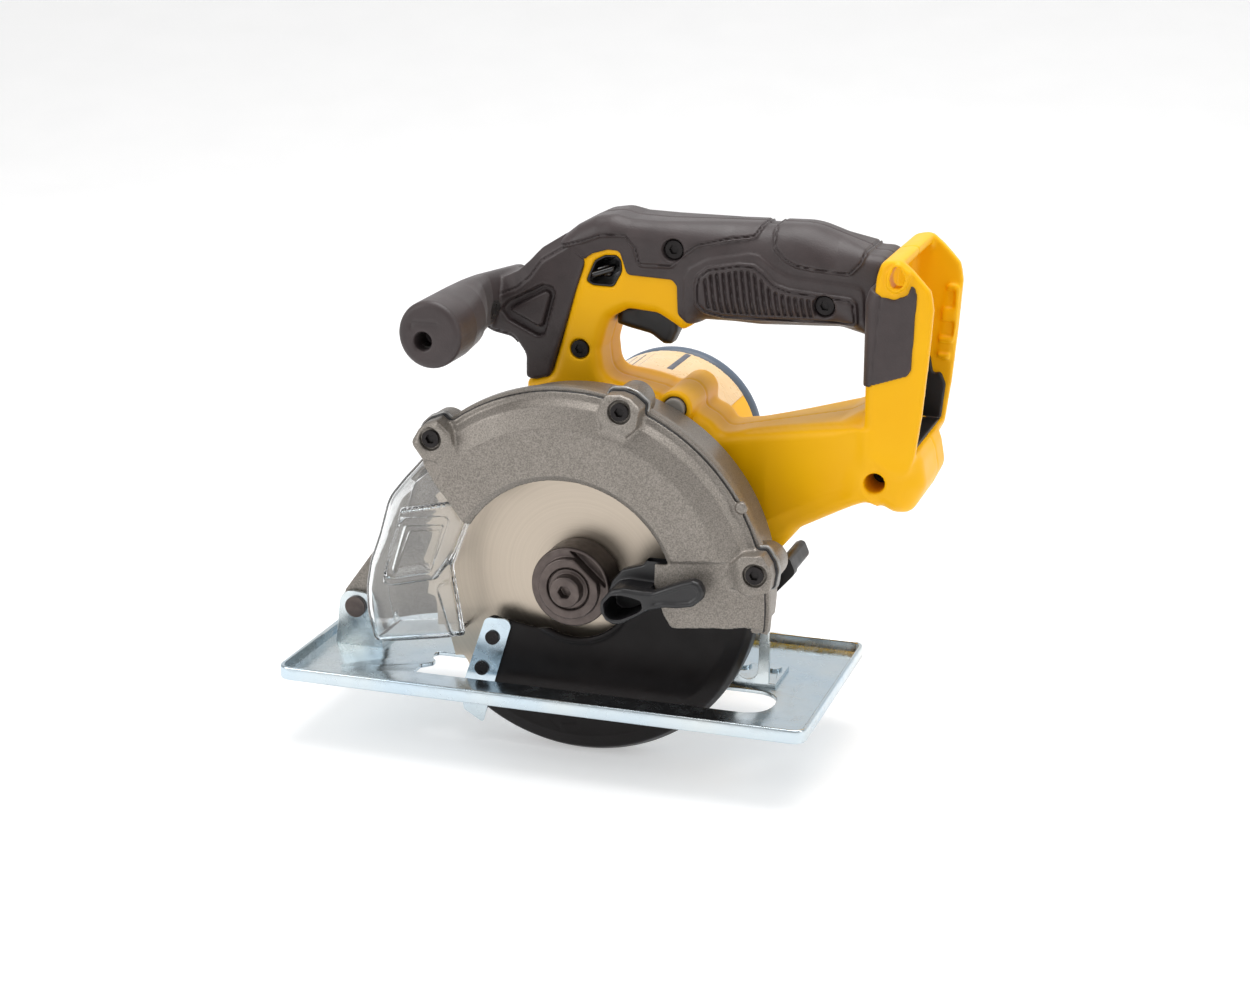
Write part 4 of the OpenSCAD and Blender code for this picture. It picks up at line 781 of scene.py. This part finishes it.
mould("bay_lining", lining_shape, (117, 6, 60), (137, 66, 90), 0.6,
      black_nylon, "housing", "black_plastic")

# %% [markdown]
# ## Cast guard cover
# The outer half of the upper guard is a pressure die casting: a flat face, a shoulder that slopes to
# the joint, three faceted bosses for screws and a wide round opening that shows the blade. A turned
# profile gives the shoulder, a side outline trims it, and the bosses join it with small fillets, as
# the draft and radii of a real die do.

# %% Cover outlines
COVER = ([(82, -9.5, 1)] + arc(82.2, -6, 141, 40) + [(-56, 43, 6), (-50, 36, 8), (-42.5, 26, 4)]
         + arc(45.5, 148, 26, 30) + [(38.5, 18.5, 2), (38.2, 8, 2), (42, -4, 2), (45.5, -9.6, 3),
                                     (62, -7.6, 2), (75, -6.8, 2)])
COVER_PROFILE = [(26, -25, 0), (68.5, -25, 1.2), (76.8, -22, 1.6), (79.8, -18.7, 1), (82.2, -18.5, 0.5),
                 (82.2, -17.3, 0), (78.8, -17.3, 0), (75.2, -20, 2), (68, -22.5, 3), (26, -22.5, 0)]
COVER_FRONT = [(0, -25, 0), (68.5, -25, 1.2), (76.8, -22, 1.6), (79.8, -18.7, 1), (84, -18.5, 0), (84, 0, 0),
               (0, 0, 0)]
COVER_STEP = [(36, 17.5, 1), (70, 20.5, 1), (76, 21.5, 1), (90, 22, 1), (90, -20, 1), (36, -20, 1)]
COVER_SCREWS = (12, 72.5, 132.5)
LOBE_FRONT, JOINT = -26.9, -17.3


def boss_outline(turn):
    """An eight-sided boss, flat towards the rim, at a turn in degrees on the screw circle."""
    t = math.radians(turn)
    sides = [(7.6, -18), (7.6, 18), (9.6, 58), (9.8, 112), (12.5, 160), (12.5, 200), (9.8, 248), (9.6, 302)]
    turns = [(r, t + math.radians(a)) for r, a in sides]
    return [(81.2 * math.cos(t) + r * math.cos(a), 81.2 * math.sin(t) + r * math.sin(a), 1.8)
            for r, a in turns]


def joint_outline(x, z):
    """The outline of the cover together with its bosses."""
    flat = within(COVER, x, z)
    for turn in COVER_SCREWS:
        flat = np.minimum(flat, within(boss_outline(turn), x, z))
    return flat


# %% Guard cover
def cover_shape(x, y, z):
    reach = np.hypot(x, z)
    sheet = cut(within(COVER_PROFILE, reach, y), -within(COVER, x, z), 0.7)
    # the rim of the opening is bevelled above the blade
    bevel = (-25 - y + (49.5 - reach) * 0.75) * 0.8
    sheet = np.where(z > 17, np.maximum(sheet, bevel), sheet)
    # the skirt below the blade opening lies one low step back
    skirt = step(within(COVER_STEP, x, z), 0.9) * np.clip((79.4 - reach) / 2, 0, 1)
    sheet = np.maximum(sheet, within(COVER_FRONT, reach, y) + 1.0 * skirt)
    for turn in COVER_SCREWS:
        lobe = thick(within(boss_outline(turn), x, z) + 0.7, y, LOBE_FRONT, JOINT, 0.8)
        # the lobe's top slopes back to the rim beyond its screw, and to the face on the other side
        lobe = cut(lobe, (y - LOBE_FRONT - (reach - 84.2) * 0.75) * 0.8, 0.5)
        lobe = cut(lobe, (y - LOBE_FRONT - (76.4 - reach) * 0.5) * 0.88, 0.6)
        sheet = join(sheet, lobe, 2.2)
        t = math.radians(turn)
        spot = (81.5 * math.cos(t), 81.5 * math.sin(t))
        sheet = bore(sheet, x, y, z, spot, 4.7, -40, -24.6, 0.6)
    nub = thick(post(x, z, (72.4, 41.8), 2.4), y, -20.5, JOINT, 0.6)
    return join(sheet, nub, 1.5)


mould("cast_guard_cover", cover_shape, (-69, -28, -12), (93, -16, 93), 0.62,
      silver_lacquer, "housing", "cast_cover", "guard_cover")

# %% [markdown]
# A thin black gasket closes the joint between the cover and the guard behind it. It shows as a
# fine dark line all round the rim and the bosses.

# %% Cover gasket
def gasket_shape(x, y, z):
    ring = np.maximum(joint_outline(x, z) - 0.1, 76.9 - np.hypot(x, z))
    return thick(ring, y, -18.1, -16.9, 0.2)


mould("cover_gasket", gasket_shape, (-69, -19, -12), (93, -15.6, 93), 0.62,
      black_nylon, "housing", "black_plastic")

# %% [markdown]
# Behind the gasket the inner half of the guard ends in a thin machined rim. It is cut to the same
# outline, a little larger, and it is the brightest line on the guard because its edge is bare metal.

# %% Machined rim of the guard
def rim_shape(x, y, z):
    ring = np.maximum(joint_outline(x, z) - 0.8, 79.5 - np.hypot(x, z))
    return thick(ring, y, -16.8, -14.6, 0.3)


mould("guard_rim", rim_shape, (-69, -17.6, -12), (93, -13.8, 93), 0.62,
      bare_casting, "housing", "cast_cover")

# %% [markdown]
# ## Clear window
# In front of the blade the guard is clear polycarbonate, so that the user sees the cut and the
# chips stay in. It has a flat near wall with a raised frame, and a round wall that follows the
# blade. A thin even wall matters here, because clear plastic shows both of its faces.

# %% Window
WINDOW = [(-42.4, 25, 2), (-46.7, 32.5, 3), (-57.5, 46.6, 3), (-61, 51, 2), (-71, 40, 20), (-78.4, 31, 20),
          (-83, 15, 20), (-87.6, 2.4, 20), (-89.6, -8.6, 20), (-89.6, -19, 20), (-86.4, -33.5, 3),
          (-57, -28.5, 2), (-46, -26, 2), (-48.2, -11.9, 8), (-50.6, 4, 6), (-45.5, 17, 4)]
WINDOW_BLOCK = [(-71.1, 26.7, 2), (-44.4, 32.9, 2), (-41, 26, 2), (-45.4, 16.9, 3), (-57, -0.8, 3),
                (-81.3, -6.8, 3)]
WINDOW_FRAME = [(-69.2, 24.4, 2), (-52, 26.7, 2), (-49.6, 25, 2), (-57.8, 2.3, 3), (-79.4, -3.2, 3),
                (-73.5, 20.2, 6)]
WINDOW_STEP = [(-69.3, 20.6, 1.5), (-52.4, 22.8, 1.5), (-57.7, 4.3, 1.5), (-76.1, -0.5, 1.5)]
WINDOW_PANE = [(-67.9, 18.2, 1), (-54.2, 20.1, 1), (-58.9, 4.9, 1), (-74.9, 0.9, 1)]
WINDOW_CURVE = [(-57, -4.8, 4), (-53.5, -16.4, 8), (-50.7, -26, 2), (-30, -40, 2), (-30, 10, 2)]

WINDOW_FRONT = [(-200, -200), (-46.5, -200), (-47.5, -12), (-50, 4), (-44.5, 18), (-42, 25), (-46, 33),
                (-61, 50), (-200, 200)]


def window_shape(x, y, z):
    flat = within(WINDOW, x, z)
    # the near wall stands out as a block, then steps back in a stair of frames to a flat pane
    lift = sum(height * step(within(corners, x, z), width) for corners, height, width in (
        (WINDOW_BLOCK, 2.8, 1.2), (WINDOW_FRAME, -1.1, 0.9), (WINDOW_STEP, -0.9, 0.9),
        (WINDOW_PANE, -0.7, 0.8), (WINDOW_CURVE, 1.0, 1.2)))
    body = thick(flat, y + lift * step(flat + 1, 2), -19.2, 40, 4)
    shell = np.abs(body + 0.9) - 0.9
    # the round wall stops at the guard's back plate, and at the bracket's ear
    back = np.where(x < -86, 3.6, 7.8)
    right = inside_out(WINDOW_FRONT, x, z)
    wall = np.maximum(shell, y - back)
    # only the near wall goes round to the blade side
    wall = np.where(y > -14.5, np.maximum(wall, right + 2.5), wall)
    return np.maximum(wall, -31.8 - z)


mould("clear_window", window_shape, (-91.5, -23.2, -32.5), (-41, 9, 53), 0.55,
      clear_polycarbonate, "housing", "clear_window", "guard_window")

# %% [markdown]
# ## Lower guard
# The lower guard is one pressing that swings up into the upper guard. Its face turns through a
# generous radius into the rim, and the edge under the flange is rolled over for stiffness. The
# same turned-profile recipe as the cover gives it, with a small arrow that shows which way it swings.

# %% Lower guard
GUARD = arc(76, 227.5, 379, 30) + arc(23.5, 379, 242, 24) + [(-17, -21.4, 4), (-27, -19.8, 8),
                                                             (-38, -17.8, 4), (-50, -52, 5)]
GUARD_PROFILE = [(20, -9.3, 0), (66.3, -9.3, 1.5), (72.6, -6.6, 2.2), (74.9, -2.2, 2), (74.9, 7, 0.4),
                 (73.4, 7, 0.4), (73.4, -1.8, 2), (71.5, -5.4, 2), (66, -7.9, 1.5), (20, -7.9, 0)]
ARROW = [(-4.5, -57, 0.6), (-12.5, -61, 0.6), (-6.5, -66, 0.6), (-7, -62.8, 0.4), (1, -61.5, 0.4),
         (1.2, -59.5, 0.4), (-5.8, -60, 0.4)]


def guard_shape(x, y, z):
    reach = np.hypot(x, z)
    rolled = np.hypot(reach - 24.9, y + 8.8) - 1.3
    body = cut(join(within(GUARD_PROFILE, reach, y), rolled, 0.6), -within(GUARD, x, z), 0.5)
    return body + 0.5 * step(within(ARROW, x, z), 1.0) * step(y + 8.8, 0.8)


mould("lower_guard_pressing", guard_shape, (-54, -11, -77), (77, 8.5, 27), 0.68,
      black_enamel, "guard", "black_steel", "lower_guard")

# %% [markdown]
# ## Guard lever and outer flange
# The black lever that lifts the lower guard is a moulding with a finger eye and a widened tail. The
# blade is clamped by a turned flange with a flat milled on its step, which takes the holding wrench.

# %% Guard lever
LEVER = [(23.6, 7.6, 4), (19, 2.2, 3), (18.8, -2, 3), (21, -5.6, 3), (24.2, -7.1, 3), (28.1, -6.4, 3),
         (32.5, -3.6, 4), (38.8, 0.3, 5), (45.1, 2.3, 5), (50.7, 2.6, 5), (57, 3.9, 3), (61, 7.4, 3),
         (61.6, 10.8, 3), (59.7, 14.1, 2), (56.9, 15, 2), (51.9, 13.4, 5), (46.9, 11.3, 5), (40.7, 8.5, 4),
         (36.3, 8.3, 4), (28.1, 8.7, 4)]
LEVER_EYE = [(23.6, 4.9, 2), (20.5, 1.5, 2), (21, -3.2, 2), (23.7, -4.9, 2), (28, -4.2, 2), (34, -1.2, 2),
             (36.4, 1, 1.5), (36, 4, 1.5), (33, 4.8, 1.5), (28, 5.5, 2)]
LEVER_HOOD = [(18.4, 2.7, 2), (19.8, 6.7, 2), (24, 12, 3), (29.2, 13.8, 3), (33, 15, 3), (36.5, 20.5, 2),
              (44, 20.5, 2), (44, 2, 2), (33.6, -1.3, 2), (21.6, -4.3, 2)]
LEVER_NECK = [(20, -7, 1), (31, -7, 1), (38, 0, 1), (38, 9, 1), (24, 9, 1), (20, 3, 1)]


def lever_shape(x, y, z):
    flat = within(LEVER, x, z)
    blade = thick(flat, y, -34.2, -28.6, 1.8)
    hood = thick(within(LEVER_HOOD, x, z), y, -21.8, -17.2, 1.2)
    eye = thick(within(LEVER_EYE, x, z), y, -50, -19.5, 0.3)
    # the neck runs back to the guard, and in front it stays within the lever's outline
    neck = within(LEVER_NECK, x, z)
    neck = np.where(y > -19, neck, np.maximum(neck, flat))
    body = join(join(blade, hood, 0.8), thick(neck, y, -30, -9.2, 0.6), 1.0)
    # the tail is dished inside a raised rim
    dish = 0.7 * step(flat + 2.2, 1.0) * step(41 - x, 2) * step(y + 32, 1.5)
    return cut(body + dish, eye, 0.9)


mould("guard_lever_moulding", lever_shape, (17, -36, -11), (63, -8, 17), 0.42,
      black_nylon, "guard", "black_plastic", "guard_lever")

# %% Outer flange
def flange_shape(x, y, z):
    reach = np.hypot(x, z)
    disc = thick(reach - 16.7, y, -15.4, -0.8, 0.8)
    boss = thick(reach - 12.8, y, -18.2, -5, 0.5)
    # one side of the boss is milled flat, which leaves a crescent of bare rim
    flat = common(11 - (x * 0.68 + z * 0.73), reach - 15.2, y + 12.6)
    body = cut(join(disc, boss, 0.3), flat, 0.25)
    body = cut(body, thick(reach - 8.9, y, -30, -16.8, 0.2), 0.3)
    return np.maximum(body, np.where(y > -9, 8.6, 4.3) - reach)


mould("clamping_flange", flange_shape, (-18, -19.5, -18), (18, 0.5, 18), 0.42,
      black_oxide, "blade_unit", "black_oxide", "outer_flange")


# %% Blade bolt
def bolt_shape(x, y, z):
    reach = np.hypot(x, z)
    head = thick(reach - 6.5, y, -22.6, -17, 0.8)
    six = common(np.abs(z), np.abs(0.5 * z + 0.866 * x), np.abs(0.5 * z - 0.866 * x)) - 2.4
    head = cut(head, thick(six, y, -30, -18.8, 0.2), 0.5)
    washer = thick(reach - 8.4, y, -17.6, -16.9, 0.3)
    return join(join(head, washer, 0.4), thick(reach - 3.9, y, -18, 8, 0.5), 0.3)


mould("blade_bolt_head", bolt_shape, (-9, -23.5, -9), (9, 9, 9), 0.36,
      black_oxide, "blade_unit", "black_oxide", "blade_bolt", "bolt_washer")

# %% [markdown]
# ## Trigger and lock-off
# The trigger is a hooked nylon moulding that a finger pulls up into the handle, and the lock-off is
# a small polished lever that shows in a window on both sides.

# %% Trigger and lock-off
TRIGGER = [(4, 99, 1), (9, 97.6, 3), (18.6, 95.6, 5), (24.2, 91.8, 1.5), (27.6, 92, 1.5), (30.2, 97.5, 3),
           (29.4, 117.3, 1), (14.5, 117.3, 1), (14.5, 108.5, 1), (5, 107, 1)]
LOCK_OFF = [(-3, 121, 1), (1, 120.3, 3), (5, 120.3, 2), (7, 124, 2), (6.8, 125.6, 1.5), (3.5, 125.6, 3),
            (-1, 124.2, 3)]


def trigger_shape(x, y, z):
    body = thick(within(TRIGGER, x, z), y, 30.7, 41.3, 3)
    return body + 0.5 * groove(z - 112, 2)


mould("trigger_moulding", trigger_shape, (1.5, 29, 90), (33, 43, 119), 0.45,
      black_nylon, "trigger_unit", "black_plastic", "trigger")


def lock_off_shape(x, y, z):
    flat = within(LOCK_OFF, x, z)
    # a polished bar stands on the lever for the thumb
    bar = thick(np.abs(z - 122.6 - 0.35 * (x - 2)) - 1.2, y, 19.4, 52.6, 0.8)
    return join(thick(flat, y, 21.4, 50.6, 1.2), np.maximum(bar, flat), 0.5)


mould("lock_off_lever", lock_off_shape, (-5, 18, 118), (10, 54, 129), 0.42,
      polished_black, "lock_off_unit", "black_plastic", "lock_off")


# A black liner over the walls of the lock-off window: painted shade. These walls are yellow nylon and only
# look black in the shade round the lever.
def painted_shade_in_lock_off_window(x, y, z):
    sleeve = np.abs(within(LOCK_OFF_WINDOW, x, z) + 0.45) - 0.45
    return thick(sleeve, y, 20.7, 51.3, 0.2)


mould("lock_off_window_painted_shade", painted_shade_in_lock_off_window, (-7, 20, 115), (12, 52, 131), 0.5,
      black_nylon, "housing", "black_plastic")

# %% Spindle lock button
def button_shape(x, y, z):
    return thick(post(x, z, SPINDLE_LOCK, 4.5), y, 12.4, 32, 0.9)


mould("spindle_lock_button", button_shape, (29, 11.5, 64), (40, 33, 76), 0.42,
      warm_grey_nylon, "spindle_lock_unit", "blue_grey_cap", "spindle_lock")

# %% [markdown]
# ## Motor housing
# The motor stands out on the far side in a yellow barrel with a blank label band, cooling slots and
# a blue-grey end cap. The barrel is a turned shape, so round fields give it and the slots are cut
# round the axis at even turns.

# %% Motor barrel, label and end cap
def around_motor(x, z):
    """Distance from the motor's axis, and the turn round it in degrees."""
    return post(x, z, MOTOR, 0), np.degrees(np.arctan2(z - MOTOR[1], x - MOTOR[0]))


def spokes(reach, turn, pitch, half):
    """Slots that run out from the axis, one every pitch degrees, of a half width in mm."""
    return np.abs((turn + pitch / 2) % pitch - pitch / 2) * reach * math.pi / 180 - half


def barrel_shape(x, y, z):
    reach, turn = around_motor(x, z)
    barrel = thick(reach - 38.9, y, 52.4, 98, 1.5)
    barrel = join(barrel, thick(reach - 39.5, y, 52.4, 59, 1.2), 1)
    sides = np.minimum(np.abs(turn + 8) - 30, np.abs(np.abs(turn) - 172) - 30)
    vents = common(spokes(reach, turn, 12, 1.3), np.abs(y - 84) - 6, sides * 0.6, 36.2 - reach)
    return cut(barrel, vents, 0.6)


mould("motor_barrel", barrel_shape, (-34, 51, -8), (50, 99.5, 76), 0.95,
      yellow_nylon, "housing", "yellow_housing", "motor_housing")


def label_shape(x, y, z):
    reach, turn = around_motor(x, z)
    band = thick(np.abs(reach - 38.7) - 0.55, y, 61, 96.6, 0.3)
    return cut(band, -(np.abs(turn - 84) - 50) * 0.6, 0.3)


mould("blank_label", label_shape, (-34, 59.5, 40), (50, 98, 76), 0.8,
      label_film, "housing", "yellow_housing")


def ruled_shape(x, y, z):
    reach, turn = around_motor(x, z)
    ink = np.abs(reach - 38.95) - 0.45
    bar = np.maximum(np.abs(turn - 78.5) - 2.2, np.abs(y - 81) - 14)
    rules = common(np.abs((turn - 84) % 6 - 3) - 0.55, np.abs(turn - 105) - 12.2, np.abs(y - 79) - 12)
    return np.maximum(ink, np.minimum(bar, rules) * 0.6)


mould("label_rules", ruled_shape, (-20, 64, 60), (22, 97, 75.5), 0.5,
      dark_ink, "housing", "black_plastic")


def end_cap_shape(x, y, z):
    reach, turn = around_motor(x, z)
    cap = thick(reach - 39.4, y, 98.3, 107.6, 4)
    vents = common(spokes(reach, turn, 15, 1.4), np.abs(reach - 25) - 8, 104.5 - y)
    lip = thick(np.abs(reach - 36.5) - 0.7, y, 106.6, 110, 0.3)
    boss = thick(reach - 9.5, y, 104, 107.6, 1.5)
    return join(cut(cut(cap, vents, 0.7), lip, 0.5), boss, 1)


mould("motor_cap", end_cap_shape, (-34, 97, -8), (50, 109, 76), 0.85,
      blue_grey_nylon, "housing", "blue_grey_cap", "motor_end_cap")

# %% [markdown]
# ## Shoe
# The shoe is rolled steel, blanked with its slot, its edge turned up all round and then zinc
# plated. The flat is a filled outline with the slot left out, which Blender's curves make with
# crisp bevels, and the turned-up edge is a small profile swept round the same outline.

# %% Flat pressings
def pressing(name, outlines, low, high, bevel, material, body, slot, *nodes):
    """A flat pressing between two heights from closed outlines, the first one outside."""
    curve = bpy.data.curves.new(name, "CURVE")
    curve.dimensions = "2D"
    curve.fill_mode = "BOTH"
    curve.extrude = (high - low) / 2000 - bevel / 1000
    curve.bevel_depth = bevel / 1000
    curve.bevel_resolution = 2
    curve.offset = -bevel / 1000
    for outline in outlines:
        line = curve.splines.new("POLY")
        line.points.add(len(outline) - 1)
        for point, (u, v) in zip(line.points, outline):
            point.co = (u / 1000, v / 1000, 0, 1)
        line.use_cyclic_u = True
    maker = bpy.data.objects.new(name + "_outline", curve)
    bpy.context.scene.collection.objects.link(maker)
    mesh = bpy.data.meshes.new_from_object(maker.evaluated_get(bpy.context.evaluated_depsgraph_get()))
    bpy.data.objects.remove(maker)
    work = bmesh.new()
    work.from_mesh(mesh)
    bmesh.ops.remove_doubles(work, verts=work.verts, dist=1e-6)
    bmesh.ops.translate(work, verts=work.verts, vec=(0, 0, (low + high) / 2000))
    work.to_mesh(mesh)
    work.free()
    show(name, mesh, material, body, nodes)
    mesh.set_sharp_from_angle(angle=SHARP)


def swept(name, path, profile, material, body):
    """A closed profile (outwards, up) carried round a closed path (x, y), in millimetres."""
    path = np.array(path)
    along = np.roll(path, -1, 0) - np.roll(path, 1, 0)
    out = np.stack([along[:, 1], -along[:, 0]], 1)
    out /= np.linalg.norm(out, axis=1)[:, None]
    n, m = len(path), len(profile)
    corners = np.array([[*(p + o * a), b - ARBOR] for p, o in zip(path, out) for a, b in profile])
    faces = np.array([[i * m + j, (i + 1) % n * m + j, (i + 1) % n * m + (j + 1) % m, i * m + (j + 1) % m]
                      for i in range(n) for j in range(m)])
    show(name, as_mesh(name, corners, faces), material, body, ())


# %% Shoe
low, high = (1000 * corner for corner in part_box("shoe"))
SHEET = 1.8
OUTER = [(low.x, low.y, 6), (high.x, low.y, 6), (high.x, high.y, 6), (low.x, high.y, 6)]
SLOT = [(-70, -15.5, 1.5), (83, -15.5, 12.2), (83, 9.5, 12.2), (-70, 9.5, 3), (-68.5, 2, 2), (-66, 0, 2),
        (-66, -3, 2), (-70, -7, 2)]
inner = [(x + (1.2 if x < 0 else -1.2), y + (1.2 if y < 0 else -1.2), r - 1.2) for x, y, r in OUTER]
pressing("shoe_plate", [rounded(inner), rounded(SLOT)], 0.0, SHEET, 0.35, zinc_plate,
         "shoe_unit", "zinc_steel", "shoe")
lip = [(0, 0.9), (0, 5.2), (-0.25, 5.8), (-0.9, 6.0), (-1.55, 5.8), (-1.8, 5.2), (-1.8, 2.2), (-3.2, 1.1),
       (-3.2, 0.25), (-0.9, 0.0), (-0.3, 0.3)]
swept("shoe_lip", rounded(OUTER), lip, zinc_plate, "shoe_unit")

# %% [markdown]
# ## Parts that keep their construction shape
# Brackets, screws, pins, bearings, gears and the motor's insides are simple machined shapes, so
# they keep the mesh that they were designed with. A small bevel catches the light on every edge,
# which no real edge is without, and each part gets the finish of its own metal.

# %% Bevels and finishes for the rest
KEPT = [
    (bare_casting, 0, "bearing_plate"),
    (bare_casting, 0.3, "gear_case"),
    (black_nylon, 0, "fan brush_holder"),
    (black_nylon, 0.3, "switch"),
    (black_nylon, 0.4, "terminal_block"),
    (black_nylon, 0.6, "depth_lever"),
    (black_oxide, 0, "case_screws guard_ring"),
    (black_oxide, 0.2, "inner_flange"),
    (black_oxide, 0.3, "pivot_pin"),
    (blackened_screw, 0.2, "cover_screws shell_screws"),
    (blackened_screw, 0.3, "strip_rivets"),
    (blade_steel, 0.08, "blade"),
    (bronze, 0, "lay_bushes"),
    (copper, 0, "armature commutator"),
    (copper, 0.1, "terminals"),
    (ferrite, 0, "magnets brushes"),
    (ground_steel, 0, "output_gear front_bearing rear_bearing layshaft lay_gear rotor_shaft "
                      "motor_pinion motor_bearings motor_can guard_spring grip_core"),
    (ground_steel, 0.2, "spindle"),
    (ground_steel, 0.3, "clamp_bolt"),
    (silver_lacquer, 0.35, "upper_guard"),
    (zinc_plate, 0.25, "guard_strip"),
    (zinc_plate, 0.3, "bracket_rivets"),
    (zinc_plate, 0.35, "front_bracket rear_bracket"),
]
finished = {name: (material, bevel) for material, bevel, names in KEPT for name in names.split()}
for name, (material, bevel) in finished.items():
    part = frame["nodes"][name]
    part.data.materials.clear()
    part.data.materials.append(material)
    if bevel:
        weld = part.modifiers.new("weld", "WELD")
        weld.merge_threshold = 1e-5
        soft = part.modifiers.new("bevel", "BEVEL")
        soft.width = bevel / 1000
        soft.segments = 2
        soft.limit_method = "ANGLE"
        soft.angle_limit = SHARP
        soft.use_clamp_overlap = True
        soft.harden_normals = True
shown = [name for name, part in frame["nodes"].items() if not part.hide_render]
print("kept parts", len(finished), "without a finish:", sorted(set(shown) - set(finished)))

# %% [markdown]
# ## Floor
# The saw stands on a plain white sweep. The sheet is curved up far behind the tool so that no
# horizon shows, its paper has a trace of tooth, and it is lit a little from behind, as a sweep of
# translucent acrylic is, so that the shadows on it stay pale.

# %% Floor
sweep_paper = finish("white_sweep_paper", (60, "#D6D6D6", "#DADADA"), IOR=1.45, Roughness=0.6,
                     Emission_Strength=0.4, Emission_Color=(1, 1, 1, 1))
rows = [(-3.0, 0.0), (-2.9, 0.0), (1.0, 0.0), (1.1, 0.0), (1.2, 0.0), (2.6, 0.3), (3.3, 0.9), (3.6, 2.0),
        (3.6, 5.0)]
lowest = cad_box[0][2]
sheet = bpy.data.meshes.new("sweep")
sheet.from_pydata([(x, y, z + lowest) for y, z in rows for x in (-6, 6)], [],
                  [(2 * i, 2 * i + 1, 2 * i + 3, 2 * i + 2) for i in range(len(rows) - 1)])
floor = bpy.data.objects.new("sweep", sheet)
bpy.context.scene.collection.objects.link(floor)
smooth = floor.modifiers.new("subdivide", "SUBSURF")
smooth.levels = 3
smooth.render_levels = 3
sheet.materials.append(sweep_paper)
print("floor at", round(1000 * lowest, 2), "mm")

# %% The json module
import json
